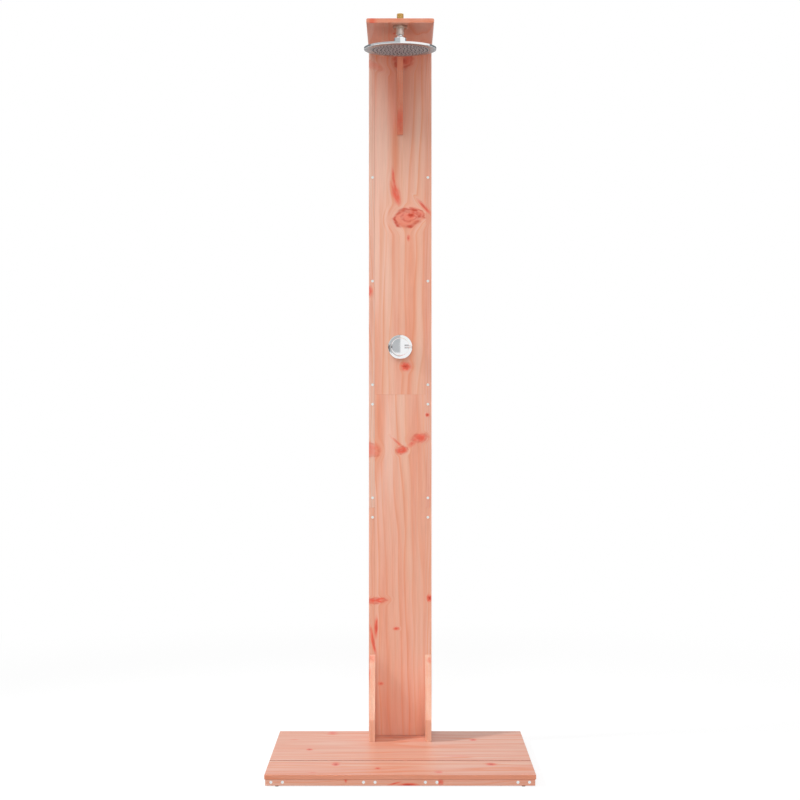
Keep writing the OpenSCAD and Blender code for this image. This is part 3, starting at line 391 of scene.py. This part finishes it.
# the front knots whose stain reaches into a node's box
def knotsOn(nodeName):
    low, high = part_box(nodeName)
    return [knot for knot in frontKnots
            if all(low[axis] * 1000 - stainReach * radius < place < high[axis] * 1000 + stainReach * radius
                   for axis, place, radius in zip((0, 2), *knot[:2]))]


# column: the panels, the strips on both sides of them and the boards behind
columnBoards = {
    "front_panel_upper": {"pith": (135, 165), "seed": 1, "ring": 21.0, "taper": 0.03, "patches": [
        ((-62, 2010), (40, 330), "cloudLight", 0.65), ((-16, 1960), (15, 130), "late", 0.5),
        ((38, 1480), (20, 330), "late", 0.4), ((-76, 1640), (13, 330), "cloudLight", 0.6),
        ((-45, 1610), (10, 300), "cloudLight", 0.4)]},
    "front_panel_lower": {"pith": (150, 140), "seed": 2, "ring": 19.0, "taper": -0.03, "patches": [
        ((-75, 1010), (34, 190), "late", 0.4), ((-35, 1000), (22, 260), "cloudLight", 0.5),
        # painted shade: this patch darkens the panel's foot between the gussets, where the deck and the
        # gussets shade it
        ((12, 60), (120, 200), "soilAndShade", 0.1)]},
    "edge_strip_upper_left": {"pith": (-170, 220), "seed": 3, "tone": 0.3, "tint": (0.98, 1.12, 1.22)},
    "edge_strip_upper_right": {"pith": (190, 240), "seed": 4, "tone": 0.7, "tint": (0.97, 0.93, 0.94)},
    "edge_strip_lower_left": {"pith": (-160, 230), "seed": 5, "tone": 0.6},
    "edge_strip_lower_right": {"pith": (180, 210), "seed": 6, "tone": 0.7},
}
for nodeName, board in columnBoards.items():
    dress(nodeName, firMaterial(nodeName, "XYZ", knots=knotsOn(nodeName), **board))

# side boards and splices: each has a round knot and a long one, at its own height
sideBoards = ["side_board_lower_left", "side_board_lower_right", "side_board_upper_left",
              "side_board_upper_right", "splice_left", "splice_right"]
for i, nodeName in enumerate(sideBoards):
    side = 1 if nodeName.endswith("right") else -1
    knots = [((262 + 9 * i, 300 + 370 * i), (9, 8), 0, plainKnot),
             ((288 - 5 * i, 900 + 260 * i), (6, 14), 0, brightKnot)]
    dress(nodeName, firMaterial(
        nodeName, "YXZ", (275 + 30 * (i % 3), side * (150 + 12 * i)), 10 + i, ring=8.0, knots=knots))

# gussets: their front edges are cut across the wide face, and show the rings as long lines
paleBoard = {"ring": 5.0, "tone": 0.15, "lateShare": 0.5, "tint": (1.0, 1.1, 1.12)}
gussets = {
    "base_gusset_left": {"pith": (-480, 190), "seed": 20, **paleBoard, "knots": [
        ((-102, 243), (6, 18), 0, brightKnot), ((-93, 290), (14, 14), 0, faintKnot)]},
    "base_gusset_right": {"pith": (470, 180), "seed": 21, **paleBoard, "knots": [
        ((98, 285), (12, 9), 0, faintKnot)]},
    "top_gusset": {"pith": (460, 200), "seed": 22, "ring": 6.0, "tone": 0.9, "tint": (0.97, 0.7, 0.61),
                   "knots": [((-1, 2052), (15, 42), 0, (0.6, 0.0, 0.1))]},
}
for nodeName, board in gussets.items():
    dress(nodeName, firMaterial(nodeName, "XYZ", **board))

# deck: knots and patches are at (back from the middle, right) in mm
deckKnot = (1.2, 0.0, 1.1)
deckFinish = {"ring": 15.0, "lateShare": 1.0, "tint": (0.88, 0.88, 0.9), "sheen": 0.5}
seamSoil = ((-119, 0), (7.5, firLook["endless"]), "soilAndShade", 0.5)    # along the seam between the two boards
deckBoards = {
    "deck_board_front": {"pith": (-215, -130), "seed": 30, "taper": 0.018, "patches": [
        seamSoil, ((-302, 0), (8, firLook["endless"]), "late", 0.7)], "knots": [
        ((-167, -195), (22, 13), 0, deckKnot), ((-272, -260), (9, 15), 0, faintKnot),
        ((-218, -67), (12, 9), 0, deckKnot), ((-167, 275), (18, 16), 20, deckKnot),
        ((-264, 113), (15, 13), 0, brightKnot)]},
    "deck_board_rear": {"pith": (60, -190), "seed": 31, "taper": 0.02, "patches": [
        # the seam's patch is dirt in the joint; the second patch is painted shade that darkens the deck in
        # the corner between the gussets
        seamSoil, ((245, 0), (75, 95), "soilAndShade", 0.45)], "knots": [
        ((172, -344), (9, 14), 0, faintKnot), ((30, -286), (14, 10), 0, deckKnot),
        ((272, -224), (26, 17), 0, (0.8, 0.0, 0.1)), ((167, 236), (13, 12), 0, deckKnot),
        ((-58, 174), (9, 48), 0, faintKnot)]},
}
for nodeName, board in deckBoards.items():
    dress(nodeName, firMaterial(nodeName, "YZX", **board, **deckFinish))

# the deck's frame, the cleats and the shelf, each with the axes that its board lies along
otherBoards = {
    "front_rail": {
        "axes": "ZYX", "pith": (60, -210), "seed": 32, "ring": 5.0, "tint": (0.92, 0.88, 0.88), "knots": [
            ((19, -160), (8, 4), 0, brightKnot), ((5, 24), (6, 30), 0, (1.4, 0.0, 1.3)),
            ((10, -16), (2.5, 22), 14, streakKnot), ((13, 119), (10, 9), 0, brightKnot)]},
    "rear_rail": {"axes": "ZYX", "pith": (-50, 380), "seed": 33, "knots": [
        ((12, 140), (7, 10), 0, plainKnot)]},
    "panel_cleats": {"axes": "ZYX", "pith": (1400, 400), "seed": 40},
    "shelf_board": {
        "axes": "XZY", "pith": (90, 1900), "seed": 41, "tone": 0.9, "taper": 0.0,
        "tint": (1.06, 0.92, 0.91), "knots": [
            ((-84, -166), (13, 12), 0, (1.2, 0.0, 0.6)), ((-19, -23), (5, 14), 0, brightKnot)]},
}
for i, nodeName in enumerate(["joist_left", "joist_mid_left", "joist_mid_right", "joist_right"]):
    otherBoards[nodeName] = {"axes": "XZY", "pith": (-363 + 240 * i, 90), "seed": 34 + i, "knots": [
        ((-363 + 243 * i, -120 + 90 * i), (8, 12), 0, plainKnot)]}
for nodeName, board in otherBoards.items():
    dress(nodeName, firMaterial(nodeName, **board))
print("fir boards dressed")


# chrome plating over polished metal: a clear mirror with a faint haze where it was wiped. On the head, where
# it faces down, the mirror is painted darker grey and blurred: painted shade that stands in for the dim wood
# it mirrors.
chrome = {
    "colour": "#F1F2F3",
    "smears": {"Scale": 34.0, "Detail": 3.0, "Distortion": 0.8},    # about 30 mm each
    "wiped": {"From Min": 0.35, "From Max": 0.75, "To Min": 0.04, "To Max": 0.1},
    # painted shade: a darker grey base colour for the head where it faces down
    "paintedUnderShade": "#A4A6A8",
    "underShadeShare": {"From Min": -0.97, "From Max": -0.85, "To Min": 1.0, "To Max": 0.0},    # where it faces down
    "underShadeRough": 0.22,
}
chromeMaterials = {}
for name in ("plain", "head"):
    material, tree, shader = newMaterial("chrome_plating_" + name)
    place = addNode(tree, "ShaderNodeTexCoord")
    haze = addNode(tree, "ShaderNodeTexNoise", {"Vector": place.outputs["Object"], **chrome["smears"]})
    wiped = addNode(tree, "ShaderNodeMapRange", {"Value": haze.outputs[0], **chrome["wiped"]})
    rough = wiped.outputs[0]
    shader.inputs["Base Color"].default_value = toLinear(chrome["colour"])
    # painted shade: the head's down-facing underside is greyed and made rougher
    if name == "head":
        facing = addNode(tree, "ShaderNodeSeparateXYZ", {0: place.outputs["Normal"]})
        underShadeShare = addNode(tree, "ShaderNodeMapRange", {"Value": facing.outputs["Z"], **chrome["underShadeShare"]})
        skin = addNode(tree, "ShaderNodeMix", {
            "Factor": underShadeShare.outputs[0], 6: toLinear(chrome["colour"]), 7: toLinear(chrome["paintedUnderShade"])},
            data_type="RGBA")
        tree.links.new(skin.outputs[2], shader.inputs["Base Color"])
        rough = addNode(tree, "ShaderNodeMath", {
            0: underShadeShare.outputs[0], 1: chrome["underShadeRough"], 2: rough}, operation="MULTIPLY_ADD").outputs[0]
    tree.links.new(rough, shader.inputs["Roughness"])
    shader.inputs["Metallic"].default_value = 1.0
    chromeMaterials[name] = material

# satin chrome on the arm: brushed round its axis before plating, so its mirror is blurred. The flange is
# painted duller and browner than the tube: painted shade from the shelf over it and a painted reflection of
# the wood it is up against.
satin = {
    "arm_tube": "#E0D0C6",
    # painted shade and a painted brown reflection of the wood
    "arm_flange": "#BFA898",
    "lineMm": 0.5,              # far coarser than real brush lines, which wouldn't show
    "round": (0.05, 0.05, 1),   # stretches the noise round the arm
    "brushed": {"From Min": 0.3, "From Max": 0.7, "To Min": 0.26, "To Max": 0.38},
    "bump": {"Distance": 0.00001, "Strength": 0.3},
}
for nodeName in ("arm_tube", "arm_flange"):
    satinMaterial, tree, shader = newMaterial("satin_chrome_" + nodeName)
    place = addNode(tree, "ShaderNodeTexCoord")
    squeezed = addNode(tree, "ShaderNodeVectorMath", {
        0: place.outputs["Object"], 1: satin["round"]}, operation="MULTIPLY")
    lines = addNode(tree, "ShaderNodeTexNoise", {
        "Vector": squeezed.outputs[0], "Scale": 1000 / satin["lineMm"], "Detail": 2.0})
    brushed = addNode(tree, "ShaderNodeMapRange", {"Value": lines.outputs[0], **satin["brushed"]})
    tree.links.new(brushed.outputs[0], shader.inputs["Roughness"])
    bump = addNode(tree, "ShaderNodeBump", {"Height": lines.outputs[0], **satin["bump"]})
    tree.links.new(bump.outputs[0], shader.inputs["Normal"])
    shader.inputs["Base Color"].default_value = toLinear(satin[nodeName])
    shader.inputs["Metallic"].default_value = 1.0
    dress(nodeName, satinMaterial)

# turned brass, unlacquered: fine tool marks round the axis and a slightly browner skin in places
brass = {
    "skin": {"Scale": 120.0, "Detail": 4.0, "Roughness": 0.6},      # patches of 8 mm
    "tarnish": [(0.35, "#F4DEA4"), (0.72, "#D9B673")],
    "rough": {"From Min": 0.3, "From Max": 0.7, "To Min": 0.2, "To Max": 0.34},
    "toolMark": {"Scale": 2600.0, "Detail": 1.0},                   # 0.4 mm from one to the next
    "bump": {"Distance": 0.00003, "Strength": 0.35},
}
brassMaterial, tree, shader = newMaterial("turned_brass")
place = addNode(tree, "ShaderNodeTexCoord")
skin = addNode(tree, "ShaderNodeTexNoise", {"Vector": place.outputs["Object"], **brass["skin"]})
tarnish = addNode(tree, "ShaderNodeValToRGB", {0: skin.outputs[0]}, stops=brass["tarnish"])
tree.links.new(tarnish.outputs[0], shader.inputs["Base Color"])
dulled = addNode(tree, "ShaderNodeMapRange", {"Value": skin.outputs[0], **brass["rough"]})
tree.links.new(dulled.outputs[0], shader.inputs["Roughness"])
split = addNode(tree, "ShaderNodeSeparateXYZ", {0: place.outputs["Object"]})
marks = addNode(tree, "ShaderNodeTexNoise", {
    "W": split.outputs["Z"], **brass["toolMark"]}, noise_dimensions="1D")
bump = addNode(tree, "ShaderNodeBump", {"Height": marks.outputs[0], **brass["bump"]})
tree.links.new(bump.outputs[0], shader.inputs["Normal"])
shader.inputs["Metallic"].default_value = 1.0

# stainless wood screws: pressed heads, bright on top and a little dull where the driver bit
screw = {
    "grit": {"Scale": 420.0, "Detail": 3.0},      # spots of 2.4 mm
    "worn": [(0.4, "#F6F7F6"), (0.75, "#DDE1E3")],
    "rough": {"From Min": 0.35, "From Max": 0.7, "To Min": 0.34, "To Max": 0.48},
}
screwMaterial, tree, shader = newMaterial("stainless_screw")
place = addNode(tree, "ShaderNodeTexCoord")
grit = addNode(tree, "ShaderNodeTexNoise", {"Vector": place.outputs["Object"], **screw["grit"]})
worn = addNode(tree, "ShaderNodeValToRGB", {0: grit.outputs[0]}, stops=screw["worn"])
tree.links.new(worn.outputs[0], shader.inputs["Base Color"])
scuffed = addNode(tree, "ShaderNodeMapRange", {"Value": grit.outputs[0], **screw["rough"]})
tree.links.new(scuffed.outputs[0], shader.inputs["Roughness"])
shader.inputs["Metallic"].default_value = 1.0


# moulded plastic, silicone and rubber: a fine grain over clouds of about 45 mm
moulded = {
    "grain": {"Detail": 3.0, "Roughness": 0.6},
    "cloud": {"Scale": 22.0, "Detail": 2.0},
    "gritShare": 0.4,
    "tones": (0.5, 0.92),       # where along the two noises the light and the dark tone stand
    "rough": (-0.06, 0.08),     # either side of a part's own roughness
    "bump": 0.5,
}


# name, the two tones, the grain's size in mm, the roughness and the grain's depth in metres
def mouldedMaterial(name, light, dark, gritMm, rough, depth):
    material, tree, shader = newMaterial(name)
    place = addNode(tree, "ShaderNodeTexCoord")
    grain = addNode(tree, "ShaderNodeTexNoise", {
        "Vector": place.outputs["Object"], "Scale": 1000 / gritMm, **moulded["grain"]})
    cloud = addNode(tree, "ShaderNodeTexNoise", {"Vector": place.outputs["Object"], **moulded["cloud"]})
    both = addNode(tree, "ShaderNodeMath", {
        0: grain.outputs[0], 1: moulded["gritShare"], 2: cloud.outputs[0]}, operation="MULTIPLY_ADD")
    colour = addNode(tree, "ShaderNodeValToRGB", {0: both.outputs[0]}, stops=list(zip(
        moulded["tones"], (light, dark))))
    tree.links.new(colour.outputs[0], shader.inputs["Base Color"])
    shine = addNode(tree, "ShaderNodeMapRange", {
        "Value": grain.outputs[0], "From Min": 0.3, "From Max": 0.7,
        "To Min": rough + moulded["rough"][0], "To Max": rough + moulded["rough"][1]})
    tree.links.new(shine.outputs[0], shader.inputs["Roughness"])
    bump = addNode(tree, "ShaderNodeBump", {
        "Height": grain.outputs[0], "Distance": depth, "Strength": moulded["bump"]})
    tree.links.new(bump.outputs[0], shader.inputs["Normal"])
    return material


faceMaterial = mouldedMaterial("abs_face_plate", "#A9A8AC", "#96949A", 1.1, 0.4, 0.00004)
nozzleMaterial = mouldedMaterial("silicone_nozzles", "#1D1A1A", "#141212", 1.4, 0.55, 0.00004)
sealMaterial = mouldedMaterial("nitrile_rubber", "#2B2B2D", "#1F1F20", 0.9, 0.6, 0.00005)
footMaterial = mouldedMaterial("nylon_foot", "#3C3A39", "#2E2C2B", 1.2, 0.5, 0.00004)

finishes = [
    (chromeMaterials["plain"], ["cover_plate", "lever_hub", "lever_pin", "ball_stem", "collar_nut"]),
    (chromeMaterials["head"], ["head_shell"]),
    (brassMaterial, ["valve_body", "valve_spindle", "gland_nut", "back_nut", "inlet_nipple", "lock_nut"]),
    (screwMaterial, ["deck_screws", "rail_screws", "column_screws", "strip_screws", "frame_screws",
                     "panel_screws", "gusset_screws", "shelf_screws", "valve_sleeve", "set_screw",
                     "nut_washer"]),
    (faceMaterial, ["face_plate"]),
    (nozzleMaterial, ["nozzle_mat"]),
    (sealMaterial, ["spindle_seals", "cover_gasket", "cover_ring", "filter_washer", "ball_seal"]),
    (footMaterial, ["foot_pads"]),
]
for material, names in finishes:
    for nodeName in names:
        dress(nodeName, material)
print("metals and mouldings dressed")


# Brass nipple. A closed profile of (radius, height) is turned round the arm's axis on a grid of angles and
# profile points. In the threaded part the radius is the root's plus the thread's depth times a wave of the
# height in pitches less the share of a turn, so the crest climbs one pitch in each turn. The wave is a V
# with its tip and root rounded off, and the radius is capped by a 45 degree bevel at both of its ends.
nipple = {
    "pitch": 1.814,       # mm, as on a half inch pipe thread
    "depth": 1.162,
    "steep": 1.25,        # the V's height as a share of the thread's
    "cutOff": 0.125,      # the part of it cut off at the root, and the same at the tip
    "bore": 7.48,
    "ease": 0.4,          # bevel on the ends of the bore and of the foot
    "grooveTop": 14.5,    # down from the top to the groove over the lock nut, and to its lower side
    "grooveLow": 15.5,
    "groove": 9.48,
    "grooveEase": 0.3,    # slope on the groove's lower side
    "grooveWall": 0.1,    # from its floor's end to the thread
    "stepsPerPitch": 12,
    "around": 72,
}


def makeNipple():
    low, high = np.array(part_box("inlet_nipple")) * 1000
    centreX, centreY = (low[:2] + high[:2]) / 2
    outer = (high[0] - low[0]) / 2
    top, foot = high[2], low[2]
    grooveTop = top - nipple["grooveTop"]
    grooveLow = top - nipple["grooveLow"]
    threadZ = np.arange(grooveTop, top, nipple["pitch"] / nipple["stepsPerPitch"])
    bore, groove, ease = nipple["bore"], nipple["groove"], nipple["ease"]
    inside = [(bore + ease, top), (bore, top - ease), (bore, foot + ease), (bore + ease, foot)]
    below = [(outer - ease, foot), (outer, foot + ease), (outer, grooveLow - nipple["grooveEase"]),
             (groove, grooveLow), (groove, grooveTop - nipple["grooveWall"])]
    angle = np.linspace(0, 2 * np.pi, nipple["around"], endpoint=False)[:, None]
    turns = (threadZ[None, :] - grooveTop) / nipple["pitch"] - angle / (2 * np.pi)
    root = outer - nipple["depth"]
    wave = np.clip(nipple["steep"] * (1 - 2 * np.abs(turns % 1 - 0.5)) - nipple["cutOff"], 0, 1)
    wave = wave * wave * (3 - 2 * wave)
    threadR = outer - nipple["depth"] * (1 - wave)
    bevel = np.minimum(threadZ - grooveTop, top - threadZ) + root
    threadR = np.minimum(threadR, bevel[None, :])
    endR = np.full((nipple["around"], 1), root)

    def carried(points, column):
        return np.tile(np.array(points)[:, column], (nipple["around"], 1))

    radius = np.hstack([carried(below, 0), threadR, endR, carried(inside, 0)])
    height = np.hstack([carried(below, 1), np.tile(threadZ, (nipple["around"], 1)),
                        np.full_like(endR, top), carried(inside, 1)])
    points = np.stack([centreX + radius * np.cos(angle), centreY + radius * np.sin(angle), height], axis=2)
    rows, columns = radius.shape
    place = np.arange(rows * columns).reshape(rows, columns)
    ahead = np.roll(place, -1, axis=0)
    faces = np.stack([place, ahead, np.roll(ahead, -1, axis=1), np.roll(place, -1, axis=1)], axis=2)
    mesh = bpy.data.meshes.new("nipple_thread")
    mesh.from_pydata((points.reshape(-1, 3) / 1000).tolist(), [], faces.reshape(-1, 4).tolist())
    mesh.polygons.foreach_set("use_smooth", np.ones(len(mesh.polygons), dtype=bool))
    mesh.materials.append(brassMaterial)
    piece = bpy.data.objects.new("nipple_thread", mesh)
    scene.collection.objects.link(piece)
    return piece


nippleThread = makeNipple()
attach(nippleThread, "stand")
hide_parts("inlet_nipple")
print("nipple threaded")

# The floor is a plain pale one to the light. The camera and reflections see it white, with a soft shadow.
studio = {
    "floorSize": 24.0,
    "floorPaint": "#CFCECC",
    "floorSeen": "#7F7F7F",   # the part of the seen floor that can still fall into shadow
    "floorLift": 0.84,        # the part that is always there
    "fadeFrom": 1.6,          # metres from the middle where the shadow starts to fade out
    "fadeTo": 3.2,
    "skyLight": 0.48,
}
floorMesh = bpy.data.meshes.new("floor")
half = studio["floorSize"] / 2
floorMesh.from_pydata([(-half, -half, 0), (half, -half, 0), (half, half, 0), (-half, half, 0)], [],
                      [(0, 1, 2, 3)])
floor = bpy.data.objects.new("floor", floorMesh)
scene.collection.objects.link(floor)
floorMaterial = bpy.data.materials.new("studio_floor")
floorMaterial.use_nodes = True
tree = floorMaterial.node_tree
tree.nodes.clear()
seen = seenShare(tree, addNode(tree, "ShaderNodeLightPath"))
place = addNode(tree, "ShaderNodeTexCoord")
away = addNode(tree, "ShaderNodeVectorMath", {0: place.outputs["Object"]}, operation="LENGTH")
fade = addNode(tree, "ShaderNodeMapRange", {
    "Value": away.outputs["Value"], "From Min": studio["fadeFrom"], "From Max": studio["fadeTo"]},
    interpolation_type="SMOOTHSTEP")
far = addNode(tree, "ShaderNodeMath", {0: fade.outputs[0], 1: seen}, operation="MULTIPLY")
paint = addNode(tree, "ShaderNodeMix", {
    "Factor": seen, 6: toLinear(studio["floorPaint"]), 7: toLinear(studio["floorSeen"])},
    data_type="RGBA")
lift = addNode(tree, "ShaderNodeMath", {0: seen, 1: studio["floorLift"]}, operation="MULTIPLY")
matt = addNode(tree, "ShaderNodeBsdfDiffuse", {"Color": paint.outputs[2]})
glow = addNode(tree, "ShaderNodeEmission", {"Strength": lift.outputs[0]})
near = addNode(tree, "ShaderNodeAddShader", {0: matt.outputs[0], 1: glow.outputs[0]})
white = addNode(tree, "ShaderNodeEmission", {"Strength": 1.0})
blend = addNode(tree, "ShaderNodeMixShader", {
    "Fac": far.outputs[0], 1: near.outputs[0], 2: white.outputs[0]})
addNode(tree, "ShaderNodeOutputMaterial", {"Surface": blend.outputs[0]})
floorMesh.materials.append(floorMaterial)

# The world is white to the camera. What reflections find in it, by the direction's shares along X, Y and Z:
# a light grey wall on the left of the camera, whose edge draws the line down the middle of the polished hub,
# its taller part that the head's rim mirrors, a dark flag low on each side, and grey behind the object.
mirrorWorld = {
    "wall": {"colour": "#C2C4C6", "X": (-0.2, 0.0), "Y": (-2.0, 0.2), "Z": (-0.085, 0.62)},
    "tallWall": {"colour": "#BFC2C4", "X": (-0.99, 0.0), "Y": (-2.0, 0.3), "Z": (0.125, 0.3)},
    "leftFlag": {"colour": "#505254", "X": (-0.99, -0.2), "Y": (-2.0, 2.0), "Z": (-0.3, 0.1)},
    "rightFlag": {"colour": "#3C3E40", "X": (0.4, 0.99), "Y": (-2.0, 2.0), "Z": (-0.3, 0.1)},
    "backdrop": {"colour": "#7C7F82", "X": (-2.0, 2.0), "Y": (0.3, 2.0), "Z": (0.16, 0.29)},
    "lowBackdrop": {"colour": "#A4A7AA", "X": (-2.0, 2.0), "Y": (0.3, 2.0), "Z": (-0.5, -0.02)},
}
softEdge = 0.01    # either side of a panel's edge
world = bpy.data.worlds.new("studio")
world.use_nodes = True
tree = world.node_tree
tree.nodes.clear()
ray = addNode(tree, "ShaderNodeLightPath")
place = addNode(tree, "ShaderNodeTexCoord")
parts = addNode(tree, "ShaderNodeSeparateXYZ", {0: place.outputs["Generated"]})
mirrored = toLinear("#FFFFFF")
for panel in mirrorWorld.values():
    share = 1.0
    for axis in "XYZ":
        # 1 between the panel's two edges and 0 outside
        low, high = panel[axis]
        middle = addNode(tree, "ShaderNodeMath", {
            0: parts.outputs[axis], 1: (low + high) / 2}, operation="SUBTRACT")
        off = addNode(tree, "ShaderNodeMath", {0: middle.outputs[0]}, operation="ABSOLUTE")
        inside = addNode(tree, "ShaderNodeMapRange", {
            "Value": off.outputs[0], "From Min": (high - low) / 2 - softEdge,
            "From Max": (high - low) / 2 + softEdge, "To Min": 1.0, "To Max": 0.0})
        both = addNode(tree, "ShaderNodeMath", {0: share, 1: inside.outputs[0]}, operation="MULTIPLY")
        share = both.outputs[0]
    mirrored = addNode(tree, "ShaderNodeMix", {
        "Factor": share, 6: mirrored, 7: toLinear(panel["colour"])}, data_type="RGBA").outputs[2]
shown = addNode(tree, "ShaderNodeMix", {
    "Factor": ray.outputs["Is Glossy Ray"], 6: toLinear("#FFFFFF"), 7: mirrored}, data_type="RGBA")
level = addNode(tree, "ShaderNodeMapRange", {
    "Value": seenShare(tree, ray), "To Min": studio["skyLight"], "To Max": 1.0})
sky = addNode(tree, "ShaderNodeBackground", {"Color": shown.outputs[2], "Strength": level.outputs[0]})
addNode(tree, "ShaderNodeOutputWorld", {"Surface": sky.outputs[0]})
scene.world = world

# lamps: two wide soft ones in front, one of them high, and a small one on the left that throws the column's
# shadow on the deck
lamps = {
    "key": {"at": (-0.3, -5.4, 5.5), "aim": (0, 0, 1.1), "size": (2.8, 2.8), "watts": 165, "spread": 180},
    "front": {"at": (0.3, -6.0, 2.2), "aim": (0, 0, 1.5), "size": (3.0, 3.0), "watts": 60, "spread": 180},
    "side": {"at": (-3.4, -0.4, 3.7), "aim": (0, 0.1, 0.2), "size": (0.6, 0.6), "watts": 10.5, "spread": 50},
}
for name, lamp in lamps.items():
    lampData = bpy.data.lights.new(name, "AREA")
    lampData.shape = "RECTANGLE"
    lampData.size, lampData.size_y = lamp["size"]
    lampData.energy = lamp["watts"]
    lampData.spread = math.radians(lamp["spread"])
    lampObject = bpy.data.objects.new(name, lampData)
    lampObject.location = lamp["at"]
    away = np.array(lamp["at"]) - np.array(lamp["aim"])
    reach = float(np.hypot(away[0], away[1]))
    lampObject.rotation_euler = (math.atan2(reach, away[2]), 0, math.atan2(away[0], -away[1]))
    lampObject.visible_glossy = False    # the white surroundings are what the metal mirrors
    scene.collection.objects.link(lampObject)
print("studio set")
